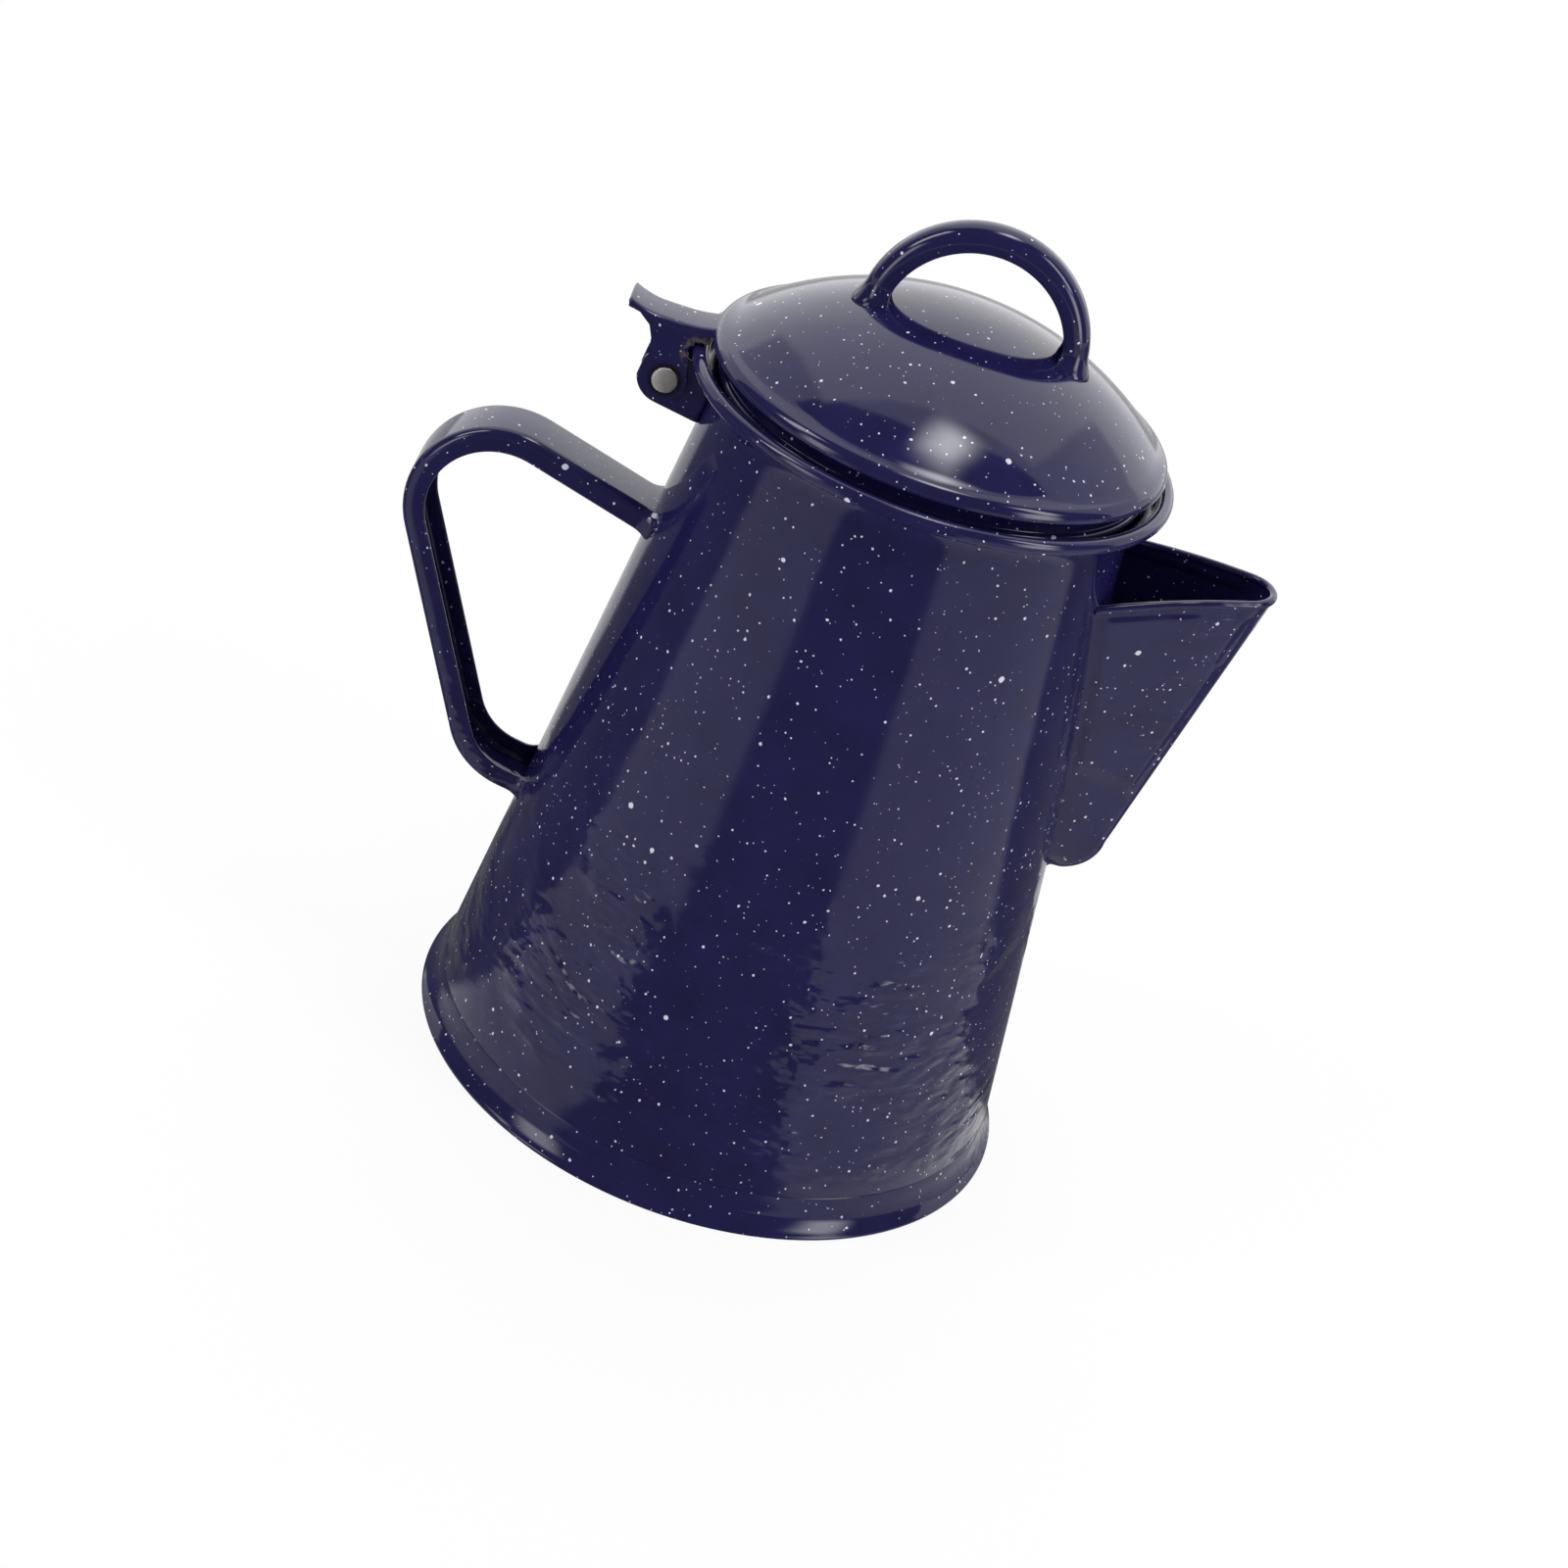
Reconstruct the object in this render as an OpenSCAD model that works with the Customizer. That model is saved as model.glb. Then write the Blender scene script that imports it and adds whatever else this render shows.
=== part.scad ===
// Enamelled steel coffee pot with a folded spout, a channel handle and a hinged lid.
// Millimetres, +Z up, origin on the body axis at the surface it stands on, spout towards +X.

/* [Body] */
// Outer radius at the foot, the widest circle
foot_r = 68.1; // [62:0.1:76]
// Radius of the corner between the bottom and the foot
corner_r = 0.6; // [0.4:0.1:1.2]
// Angle of the foot's flare at the corner, measured from upright
foot_slope = 45; // [35:1:52]
// How far the foot stands out past the wall's cone, where both are carried down to the surface
foot_flare = 2; // [1.4:0.1:3]
// Outer radius of the wall where it starts to flare to the mouth
throat_r = 45.8; // [44:0.2:47]
// Height where the flare starts
throat_z = 157; // [154:0.5:158]
// Outside radius of the flare's curve
flare_r = 6.5; // [5:0.1:9]
// Angle of the flare where it meets the rolled rim
flare_end = 112; // [100:1:125]
// Radius of the rolled rim's section
rim_roll_r = 1.7; // [1.3:0.1:2.4]
// Thickness of the enamelled sheet
sheet = 1; // [0.8:0.1:1.4]

/* [Base seam] */
// Height of the seam above the top of the foot's flare
seam_rise = 3; // [1.5:0.1:6]
// Height of the pan's spigot inside the wall
spigot_h = 5; // [3:0.5:9]
// Thickness of the spigot
spigot_t = 0.9; // [0.6:0.1:1.4]
// Gap between the spigot and the wall
spigot_gap = 0.1; // [0.05:0.05:0.4]

/* [Strainer] */
// Diameter of each strainer hole
strainer_d = 4; // [3:0.1:5]
// Distance between neighbouring holes
strainer_pitch = 7; // [6:0.5:9]
// Height of the top row of holes
strainer_top_z = 131; // [120:1:138]
// Number of holes in the top row
strainer_cols = 4; // [2:1:4]

/* [Spout] */
// Distance from the body axis to the tip of the spout
spout_reach = 80.2; // [76:0.2:86]
// Height of the tip
spout_tip_z = 151.3; // [148:0.1:154]
// Height of the lip where it meets the wall
spout_root_z = 144; // [140:0.5:148]
// Half width of the spout at the lip, on the wall
spout_half_w = 19.8; // [17:0.2:23]
// Half width of the spout at its foot, on the wall
spout_foot_half_w = 4.6; // [4:0.2:7]
// Distance from the body axis to the nose, above the foot's bend
spout_foot_reach = 66.9; // [64:0.1:70]
// Height where the nose bends back to the wall
spout_foot_z = 83; // [78:0.5:95]
// Height where the spout's foot meets the wall
spout_base_z = 73.5; // [66:0.5:76]
// Radius of the fold along the nose
nose_r = 3.4; // [2.6:0.1:4]
// Radius of the fold at the lip, where it opens out
nose_lip_r = 5.8; // [4:0.1:7]
// Rise of the lip above a straight line from the wall to the tip
lip_bow = 0.9; // [0:0.1:1.5]
// Radius of the rolled lip's section
lip_roll_r = 1; // [0.8:0.1:1.4]
// Height of the pressed panel on each side
panel_rise = 0.8; // [0.4:0.1:1.2]
// Distance from the panel to the lip and to the nose
panel_margin = 3; // [2:0.2:4.5]
// Gap filled by the weld between the spout and the wall
weld_gap = 0.05; // [0.02:0.01:0.2]

/* [Handle] */
// Width of the handle's channel
handle_w = 15.5; // [12:0.5:20]
// Depth of the handle's channel
handle_d = 5; // [4:0.2:7]
// Radius of the channel's shoulders
handle_shoulder = 2.2; // [1.6:0.1:2.4]
// Distance from the body axis to the outside of the top bend
handle_reach = 101.3; // [94:0.1:112]
// Height of the top of the handle
handle_top_z = 135.6; // [128:0.2:140]
// Outside radius of the top bend
handle_top_r = 20; // [16:0.5:24]
// Outside radius of the bottom bend
handle_low_r = 18; // [14:0.5:22]
// Slope of the upper run, down towards the wall
handle_top_slope = 15; // [8:1:22]
// Angle of the long run, measured from upright
handle_lean = 26; // [20:1:30]
// Slope of the lower run, down towards the wall
handle_low_slope = 8; // [4:1:14]
// Height of the outside of the handle where it meets the wall
handle_low_z = 52; // [44:0.5:60]

/* [Lid] */
// Height of the top of the dome
dome_z = 189.5; // [187:0.1:196]
// Radius of the dome's curve
dome_curve_r = 71.7; // [68:0.1:80]
// Radius where the dome turns into the valley
dome_edge_r = 45.2; // [44:0.1:46]
// Radius of the valley's curve
valley_r = 12; // [10:0.5:15]
// Slope of the dome in the valley
valley_slope = 25; // [20:1:28]
// Outside radius of the hem's curve
hem_r = 2.8; // [2.4:0.1:3.6]
// Length of the straight edge below the hem
hem_edge = 0.3; // [0.2:0.1:1]

/* [Lid skirt] */
// Outer radius of the skirt
skirt_r = 43.8; // [41:0.1:44]
// Height of the skirt's lower edge
skirt_z = 154; // [148:0.5:157]
// Thickness of the skirt's sheet
skirt_t = 1; // [0.7:0.1:1.2]
// Radius of the bead that seats in the mouth
seat_bead_r = 1.2; // [1:0.1:1.5]
// Gap between the seat bead and the mouth with the lid closed
seat_gap = 0.3; // [0.1:0.05:0.6]
// Angle on the flare where the seat bead rests
seat_angle = 140; // [132:1:148]
// Gap between the skirt's flange and the hem
flange_gap = 0.05; // [0.02:0.01:0.2]

/* [Lid handle] */
// Height of the top of the lid's handle, the overall height
total_z = 209.5; // [204:0.5:216]
// Outside radius of the lid's handle
loop_r = 24.4; // [21:0.2:27]
// Distance of the handle's middle from the lid's axis, towards the spout
loop_x = 1; // [0:0.2:3]
// Width of its channel
loop_w = 8.4; // [7:0.2:12]
// Depth of its channel
loop_d = 5.4; // [4.5:0.1:7]
// Radius of its shoulders
loop_shoulder = 2.4; // [1.8:0.1:2.8]

/* [Hinge] */
// Distance from the body axis to the hinge pin
pin_x = 55.8; // [54.5:0.1:58]
// Height of the hinge pin
pin_z = 156.9; // [154:0.1:158]
// Diameter of the hinge pin
pin_d = 3; // [2.4:0.1:3.6]
// Radial gap between the pin and its holes
pin_gap = 0.05; // [0.01:0.01:0.1]
// Diameter of the rivet heads
head_d = 5.6; // [4.8:0.1:6.4]
// Height of the rivet heads
head_h = 1.1; // [0.8:0.1:1.6]
// Gap between the rivet heads and the cheeks
head_gap = 0.1; // [0.05:0.05:0.3]
// Radius of the cheek's lower end, around the pin
cheek_r = 4.5; // [4:0.1:5]
// Radius of the bracket's end, around the pin
bracket_r = 6.1; // [5.2:0.1:6.4]
// Height where the bracket's lower edge meets the wall
bracket_low_z = 149; // [144:0.5:151]
// Outer width of the hinge strap
strap_w = 11; // [9:0.2:14]
// Gap between the cheeks and the bracket on each side
strap_gap = 0.2; // [0.1:0.05:0.4]
// Height of the strap's flat top
strap_z = 169.8; // [169:0.1:171]
// Gap between the cheeks and the rolled rim
notch_gap = 0.7; // [0.4:0.1:1]
// Distance from the pin to the tip of the thumb lift
thumb_reach = 11.6; // [9:0.2:14]
// Rise of the thumb lift's tip
thumb_rise = 1.7; // [0.5:0.1:4]
// Distance from the pin to where the thumb lift starts to rise
thumb_start = 4.4; // [3:0.2:6]
// Distance that the strap's tongue reaches past the hem, over the dome
tongue = 7; // [4:0.5:10]

/* [Hidden] */

round_fn = 120;
bore_fn = 48;
reach = 200;
arc_step = 6;
navy = [0.13, 0.12, 0.32];
steel = [0.78, 0.78, 0.78];

// ---- profiles shared by several pieces ----

// Angles from one to another in even steps, both ends included.
function angles(a0, a1, step = arc_step) =
    let (n = max(2, ceil(abs(a1 - a0) / step)))
    [for (i = [0:n]) a0 + (a1 - a0) * i / n];

// Points on an arc from one angle to another, both ends included.
function arc(c, r, a0, a1, step = arc_step) =
    [for (a = angles(a0, a1, step)) [c[0] + r * cos(a), c[1] + r * sin(a)]];

// A list in the other order.
function turned(list) = [for (i = [len(list) - 1:-1:0]) list[i]];

// A list's points moved along one vector.
function moved(list, v) = [for (p = list) p + v];

cone_r = foot_r - foot_flare;
wall_slope = atan((cone_r - throat_r) / throat_z);
wall_across = sheet / cos(wall_slope);

// Outer radius of the conical wall at a height.
function wall_r(z) = cone_r - z * tan(wall_slope);

// The foot's flare is one arc, tangent to the wall's cone and to the corner below.
corner_c = [foot_r - corner_r, corner_r];
flare_low = corner_c + corner_r * [cos(foot_slope), sin(foot_slope)];
cross_z = (flare_low[0] + flare_low[1] * tan(foot_slope) - cone_r)
    / (tan(foot_slope) - tan(wall_slope));
cross_at = [wall_r(cross_z), cross_z];
foot_reach_up = norm(cross_at - flare_low);
flare_top = cross_at + foot_reach_up * [-sin(wall_slope), cos(wall_slope)];
seam_z = flare_top[1] + seam_rise;
foot_curve_r = foot_reach_up / tan((foot_slope - wall_slope) / 2);
foot_c = flare_top + foot_curve_r * [cos(wall_slope), sin(wall_slope)];

// ---- body wall ----

flare_c = [throat_r + flare_r * cos(wall_slope), throat_z + flare_r * sin(wall_slope)];
flare_start = 180 + wall_slope;
rim_c = flare_c + (flare_r + sheet / 2) * [cos(flare_end), sin(flare_end)]
    + (rim_roll_r - sheet / 2) * [sin(flare_end), -cos(flare_end)];

module wall_profile() {
    polygon(concat(
        [[wall_r(seam_z) - wall_across, seam_z], [wall_r(seam_z), seam_z]],
        arc(flare_c, flare_r, flare_start, flare_end),
        turned(arc(flare_c, flare_r + sheet, flare_start, flare_end))
    ));
    translate(rim_c)
        circle(r = rim_roll_r, $fn = bore_fn);
}

strainer_row = strainer_pitch * sin(60);

module strainer_holes() {
    for (row = [0:strainer_cols - 1]) {
        count = strainer_cols - row;
        for (i = [0:count - 1])
            translate([0, (i - (count - 1) / 2) * strainer_pitch, strainer_top_z - row * strainer_row])
                rotate([0, 90, 0])
                    cylinder(h = reach, d = strainer_d, $fn = bore_fn);
    }
}

module body_wall() {
    color(navy)
        difference() {
            rotate_extrude($fn = round_fn)
                wall_profile();
            strainer_holes();
        }
}

// ---- base pan ----

// Outer face of the spigot at a height: the wall's inner face less the gap.
function spigot_r(z) = wall_r(z) - wall_across - spigot_gap;

// Angle on the flare's inner face at a height, seen from the flare's centre.
function flare_angle(z) = 180 + asin((foot_c[1] - z) / (foot_curve_r + sheet));

module pan_profile() {
    top = seam_z + spigot_h;
    neck = seam_z - sheet;
    polygon(concat(
        [[0, 0]],
        arc(corner_c, corner_r, -90, foot_slope),
        arc(foot_c, foot_curve_r, 180 + foot_slope, 180 + wall_slope),
        [[wall_r(seam_z), seam_z], [spigot_r(seam_z), seam_z]],
        [[spigot_r(top), top], [spigot_r(top) - spigot_t, top]],
        [[spigot_r(neck) - spigot_t, neck], [wall_r(neck) - wall_across, neck - sheet]],
        arc(foot_c, foot_curve_r + sheet, 180 + wall_slope, flare_angle(sheet)),
        [[0, sheet]]
    ));
}

module base_pan() {
    color(navy)
        rotate_extrude($fn = round_fn)
            pan_profile();
}

// ---- spout: one folded sheet, made as rings of points along its length ----

spout_rows = 18;
nose_steps = 8;
roll_steps = 8;
foot_bend_rows = 6;

// Side view of the nose, from the foot on the wall (t = 0) to the tip (t = 1).
foot_x = wall_r(spout_base_z);
bend_part = foot_bend_rows / spout_rows;
function nose_line(t) =
    t < bend_part
        ? let (a = 90 * t / bend_part)
            [foot_x + (spout_foot_reach - foot_x) * sin(a),
             spout_base_z + (spout_foot_z - spout_base_z) * (1 - cos(a))]
        : let (s = (t - bend_part) / (1 - bend_part))
            [spout_foot_reach + (spout_reach - spout_foot_reach) * s,
             spout_foot_z + (spout_tip_z - spout_foot_z) * s];

// Height of the sheet's edge on the wall, and the spout's half width there.
function root_z(t) = spout_base_z + 1 + (spout_root_z - spout_base_z - 1) * pow(t, 1.12);
function root_half(t) =
    spout_foot_half_w + (spout_half_w - spout_foot_half_w)
        * (root_z(t) - spout_base_z) / (spout_root_z - spout_base_z);

// Half of one ring in its own plane: [distance out from the wall, half width], from wall to nose.
// inset moves the ring inwards by the sheet's thickness, and rise lifts the pressed panel.
function half_ring(length, half, r, inset, rise) =
    let (
        c = length - r,
        gap = sqrt(c * c + half * half),
        lean = atan2(half, c) - asin(min(0.999, r / gap)),
        along = sqrt(max(0.01, gap * gap - r * r)),
        dir = [cos(lean), -sin(lean)],
        out = [sin(lean), cos(lean)],
        marks = [
            0, min(0.7, 0.1 * along), min(1.5, 0.2 * along), along / 2,
            max(0.6 * along, along - panel_margin - 0.8), max(0.8 * along, along - panel_margin), along
        ],
        up = [0, 0, rise, rise, rise, 0, 0]
    )
    concat(
        [for (i = [0:6])
            [0, half] + dir * marks[i] + out * (up[i] - inset)],
        [for (i = [1:nose_steps / 2])
            let (a = (90 - lean) * (1 - i / (nose_steps / 2)))
            [c, 0] + (r - inset) * [cos(a), sin(a)]]
    );

// Share of the panel's rise at a row: none at the lip and at the foot.
function panel_share(t) =
    let (lip = spout_tip_z - spout_root_z, room = (1 - t) * (spout_tip_z - spout_foot_z))
    room < panel_margin - 0.5 ? 0 : t < 0.42 ? 0 : t < 0.5 ? (t - 0.42) / 0.08 : 1;

// The wall's outer face, with the weld's gap, at a distance across and a height.
function wall_x(y, z) = sqrt(pow(wall_r(z) + weld_gap, 2) - y * y);

// One whole ring in space. Its edges stop at the wall.
function ring(t, inset, up) =
    let (
        tip = nose_line(t),
        z0 = root_z(t),
        half = root_half(t),
        x0 = wall_x(half, z0),
        length = tip[0] - x0,
        r = min(nose_r + (nose_lip_r - nose_r) * pow(t, 4), length * 0.8, half * 0.8),
        side = half_ring(length, half, r, inset, panel_rise * panel_share(t)),
        last = len(side) - 1,
        place = function (p, side_sign)
            let (
                share = p[0] / length,
                z = z0 + (tip[1] - z0) * share + lip_bow * t * sin(180 * share) + up
            )
            [max(x0 + p[0], wall_x(p[1], z)), side_sign * p[1], z]
    )
    concat(
        [for (i = [0:last]) place(side[i], -1)],
        [for (i = [last - 1:-1:0]) place(side[i], 1)]
    );

// The inside rows start higher at the foot, where the sheet turns level, to keep its thickness.
foot_lift = 0.06;
function inner_t(t) = t + foot_lift * pow(1 - t, 4);

// Rows of the closed skin: up the outside, over the rolled lip and down the inside.
row_ts = concat(
    [for (i = [0:spout_rows - 1]) 0.04 + 0.96 * i / spout_rows],
    [1 - 2 * panel_margin / 3 / (spout_tip_z - spout_foot_z)]
);
lip_up = [for (i = [0:roll_steps]) let (a = -60 + 240 * i / roll_steps)
    [sheet / 2 - lip_roll_r * (1 + cos(a)) + lip_roll_r, lip_roll_r * sin(a)]];

function spout_skin() = concat(
    [for (t = row_ts) ring(t, 0, 0)],
    [for (p = lip_up) ring(1, p[0], p[1])],
    [for (i = [len(row_ts) - 1:-1:0]) ring(inner_t(row_ts[i]), sheet, 0)]
);

// Faces between two neighbouring rows, split into triangles because the skin is curved.
function strip_faces(cols, a, b) = [
    for (j = [0:cols - 2]) each [
        [a + j, b + j + 1, a + j + 1],
        [a + j, b + j, b + j + 1]
    ]
];

// The edge that lies on the wall, at one end of each row, from the outside across to the inside.
function edge_faces(rows, cols, col, flip) = [
    for (i = [0:floor(rows / 2) - 1])
        let (a = i * cols + col, b = a + cols, d = (rows - 1 - i) * cols + col, c = d - cols)
        each [flip ? [a, d, c] : [a, c, d], if (b != c) flip ? [a, c, b] : [a, b, c]]
];

module spout() {
    skin = spout_skin();
    rows = len(skin);
    cols = len(skin[0]);
    color(navy)
        polyhedron(
            points = [for (row = skin) each row],
            faces = concat(
                [for (i = [0:rows - 1]) each strip_faces(cols, i * cols, (i + 1) % rows * cols)],
                edge_faces(rows, cols, 0, true),
                edge_faces(rows, cols, cols - 1, false)
            ),
            convexity = 6
        );
}

// ---- channel section, shared by the handle and the lid's handle ----

// Outline of a channel: x is outwards with 0 on its outer face, y is across.
// Its first half is the outside, and its second half comes back along the inside.
function channel(w, d, shoulder, step = arc_step, web_parts = 1) =
    let (h = w / 2, s = h - shoulder)
    concat(
        [[-d, -h]], arc([-shoulder, -s], shoulder, -90, 0, step),
        [for (i = [1:1:web_parts - 1]) [0, -s + 2 * s * i / web_parts]],
        arc([-shoulder, s], shoulder, 0, 90, step), [[-d, h], [-d, h - sheet]],
        arc([-shoulder, s], shoulder - sheet, 90, 0, step),
        [for (i = [1:1:web_parts - 1]) [-sheet, s - 2 * s * i / web_parts]],
        arc([-shoulder, -s], shoulder - sheet, 0, -90, step), [[-d, -h + sheet]]
    );

// ---- handle: one channel swept along its path, as rings of points ----

shoulder_step = 15;
web_parts = 4;

function heading_dir(h) = [cos(h), sin(h)];
function outward(h) = heading_dir(h + 90);

low_heading = 180 - handle_low_slope;
long_heading = 90 + handle_lean;
top_heading = -handle_top_slope;

top_c = [-handle_reach + handle_top_r, handle_top_z - handle_top_r];
long_end = top_c + handle_top_r * outward(long_heading);
low_start = [-wall_r(handle_low_z), handle_low_z];
// The lower run and the long run meet the bottom bend at equal distances from where they cross.
cross_run = ((long_end - low_start) * outward(long_heading))
    / (heading_dir(low_heading) * outward(long_heading));
corner = low_start + cross_run * heading_dir(low_heading);
bend_reach = handle_low_r * tan((low_heading - long_heading) / 2);
low_c = corner - bend_reach * heading_dir(low_heading) - handle_low_r * outward(low_heading);

handle_section = channel(handle_w, handle_d, handle_shoulder, shoulder_step, web_parts);

// The handle's section on a bend about c in the XZ plane, at a polar angle.
function bend_ring(c, r, a) =
    [for (p = handle_section) [c[0] + (r + p[0]) * cos(a), p[1], c[1] + (r + p[0]) * sin(a)]];

// Distance from a point to the wall's outer face, less the weld's gap, along a heading in the XZ plane.
function wall_distance(p, h) =
    let (
        k = tan(wall_slope),
        w = wall_r(p[2]) + weld_gap,
        qa = pow(cos(h), 2) - pow(k * sin(h), 2),
        qb = p[0] * cos(h) + k * w * sin(h),
        qc = p[0] * p[0] + p[1] * p[1] - w * w
    )
    (-qb - sqrt(qb * qb - qa * qc)) / qa;

// A ring slid along a heading until it lies on the wall.
function on_wall(ring, h) =
    [for (p = ring) p + wall_distance(p, h) * [cos(h), 0, sin(h)]];

low_rings = [for (a = angles(low_heading + 90, long_heading + 90)) bend_ring(low_c, handle_low_r, a)];
top_rings = [for (a = angles(long_heading + 90, top_heading + 90)) bend_ring(top_c, handle_top_r, a)];
handle_rings = concat(
    [on_wall(low_rings[0], low_heading + 180)], low_rings,
    top_rings, [on_wall(top_rings[len(top_rings) - 1], top_heading)]
);

// Faces between two neighbouring rings of n points.
function tube_faces(n, a, b) = [
    for (j = [0:n - 1])
        let (k = (j + 1) % n)
        each [[a + j, a + k, b + k], [a + j, b + k, b + j]]
];

// The face at the end of a channel, from its outside across to its inside.
function end_faces(n, a, flip) = [
    for (j = [0:n / 2 - 2])
        let (p = a + j, q = p + 1, r = a + n - 2 - j, s = r + 1)
        each flip ? [[p, r, q], [p, s, r]] : [[p, q, r], [p, r, s]]
];

module handle() {
    n = len(handle_section);
    last = len(handle_rings) - 1;
    color(navy)
        polyhedron(
            points = [for (ring = handle_rings) each ring],
            faces = concat(
                [for (i = [0:last - 1]) each tube_faces(n, i * n, (i + 1) * n)],
                end_faces(n, 0, true),
                end_faces(n, last * n, false)
            ),
            convexity = 6
        );
}

// ---- hinge: bracket on the wall, rivet, and the strap on the lid ----

ear_out = strap_w / 2 - sheet - strap_gap;
bracket_top_z = throat_z + 2;
pin_at = [-pin_x, pin_z];

// Pin hole through everything, along Y.
module pin_hole() {
    translate([-pin_x, 0, pin_z])
        rotate([90, 0, 0])
            cylinder(h = reach, d = pin_d + 2 * pin_gap, center = true, $fn = bore_fn);
}

// A plate in the XZ plane, from y0 to y1.
module plate_xz(points, y0, y1) {
    translate([0, y1, 0])
        rotate([90, 0, 0])
            linear_extrude(y1 - y0)
                polygon(points);
}

bracket_low = [-wall_r(bracket_low_z) + 2, bracket_low_z];
bracket_top = [-throat_r + 2, bracket_top_z];

// Angle, seen from the pin, at which a line from p touches a circle around the pin.
function touch_angle(p, r, side) =
    let (d = p - pin_at) atan2(d[1], d[0]) + side * acos(r / norm(d));

function bracket_outline() =
    concat([bracket_low, bracket_top],
        arc(pin_at, bracket_r, touch_angle(bracket_top, bracket_r, 1),
            360 + touch_angle(bracket_low, bracket_r, -1)));

module hinge_bracket() {
    color(navy)
        difference() {
            union() {
                plate_xz(bracket_outline(), ear_out - sheet, ear_out);
                plate_xz(bracket_outline(), -ear_out, sheet - ear_out);
                intersection() {
                    plate_xz(bracket_outline(), -ear_out, ear_out);
                    flare_envelope(weld_gap + sheet);
                }
            }
            flare_envelope(weld_gap);
            pin_hole();
        }
}

// The wall with its flare, grown by a gap.
module flare_envelope(gap) {
    rotate_extrude($fn = round_fn)
        polygon(concat(
            [[0, seam_z], [wall_r(seam_z) + gap, seam_z]],
            arc(flare_c, flare_r - gap, flare_start, flare_end),
            [[0, flare_c[1] + flare_r]]
        ));
}

module rivet_head() {
    rise_r = (head_h * head_h + head_d * head_d / 4) / (2 * head_h);
    rotate_extrude($fn = bore_fn)
        polygon(concat([[0, 0]], arc([0, head_h - rise_r], rise_r, 90 - asin(head_d / 2 / rise_r), 90)));
}

module hinge_pin() {
    half = strap_w / 2 + head_gap;
    color(steel)
        translate([-pin_x, 0, pin_z]) {
            rotate([90, 0, 0])
                cylinder(h = 2 * half, d = pin_d, center = true, $fn = bore_fn);
            translate([0, -half, 0])
                rotate([90, 0, 0])
                    rivet_head();
            translate([0, half, 0])
                rotate([-90, 0, 0])
                    rivet_head();
        }
}

// ---- lid ----

dome_slope = asin(dome_edge_r / dome_curve_r);
dome_c = [0, dome_z - dome_curve_r];
valley_c = dome_c + (dome_curve_r + valley_r) * [sin(dome_slope), cos(dome_slope)];
hem_c = valley_c - (valley_r + hem_r) * [sin(valley_slope), cos(valley_slope)];
hem_low_z = hem_c[1] - hem_edge;
hem_out_r = hem_c[0] + hem_r;

// The dome's outer line from the crown to the hem, moved in by an inset.
function dome_line(inset) = concat(
    arc(dome_c, dome_curve_r - inset, 90, 90 - dome_slope),
    arc(valley_c, valley_r + inset, 270 - dome_slope, 270 - valley_slope),
    arc(hem_c, hem_r - inset, 90 - valley_slope, 0),
    [[hem_out_r - inset, hem_low_z]]
);

module lid_dome() {
    color(navy)
        rotate_extrude($fn = round_fn)
            polygon(concat(dome_line(0), turned(dome_line(sheet))));
}

module dome_envelope(gap) {
    rotate_extrude($fn = round_fn)
        polygon(concat(dome_line(-gap), [[0, hem_low_z]]));
}

seat_c = flare_c
    + (flare_r + sheet + seat_gap + seat_bead_r) * [cos(seat_angle), sin(seat_angle)];
flange_r = hem_out_r - sheet - flange_gap;
flange_z = hem_low_z + 0.4;

module lid_skirt() {
    color(navy)
        rotate_extrude($fn = round_fn) {
            polygon([
                [skirt_r - skirt_t, skirt_z], [skirt_r, skirt_z],
                [skirt_r, seat_c[1] - seat_bead_r], [seat_c[0], seat_c[1] + seat_bead_r],
                [seat_c[0], flange_z - skirt_t], [flange_r, flange_z - skirt_t],
                [flange_r, flange_z], [seat_c[0] - skirt_t, flange_z],
                [seat_c[0] - skirt_t, seat_c[1]], [skirt_r - skirt_t, seat_c[1] - 2 * seat_bead_r]
            ]);
            translate(seat_c)
                circle(r = seat_bead_r, $fn = bore_fn);
        }
}

// The loop runs on past its half circle by this angle at each end, down into the dome that trims it.
loop_tuck = 8;

module lid_handle() {
    color(navy)
        difference() {
            translate([loop_x, 0, total_z - loop_r])
                rotate([90, 0, 0])
                    rotate([0, 0, -loop_tuck])
                        rotate_extrude(angle = 180 + 2 * loop_tuck, $fn = round_fn)
                            polygon(moved(channel(loop_w, loop_d, loop_shoulder), [loop_r, 0]));
            dome_envelope(weld_gap);
        }
}

thumb_tip_x = -pin_x - thumb_reach;
tongue_x = -hem_out_r + tongue;

// Height of the strap's top: level over the pin, rising to the thumb lift and to the dome.
function strap_top(x) =
    let (
        lift = max(0, (-pin_x - thumb_start - x) / (thumb_reach - thumb_start)),
        join = max(0, (x + pin_x) / (pin_x + tongue_x))
    )
    strap_z + thumb_rise * lift * lift + 3.4 * join * join;

strap_xs = [for (i = [0:24]) thumb_tip_x + (tongue_x - thumb_tip_x) * i / 24];

module strap_sheet(y) {
    plate_xz(concat(
        [for (x = strap_xs) [x, strap_top(x)]],
        [for (x = turned(strap_xs)) [x, strap_top(x) - sheet]]
    ), -y, y);
}

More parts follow.
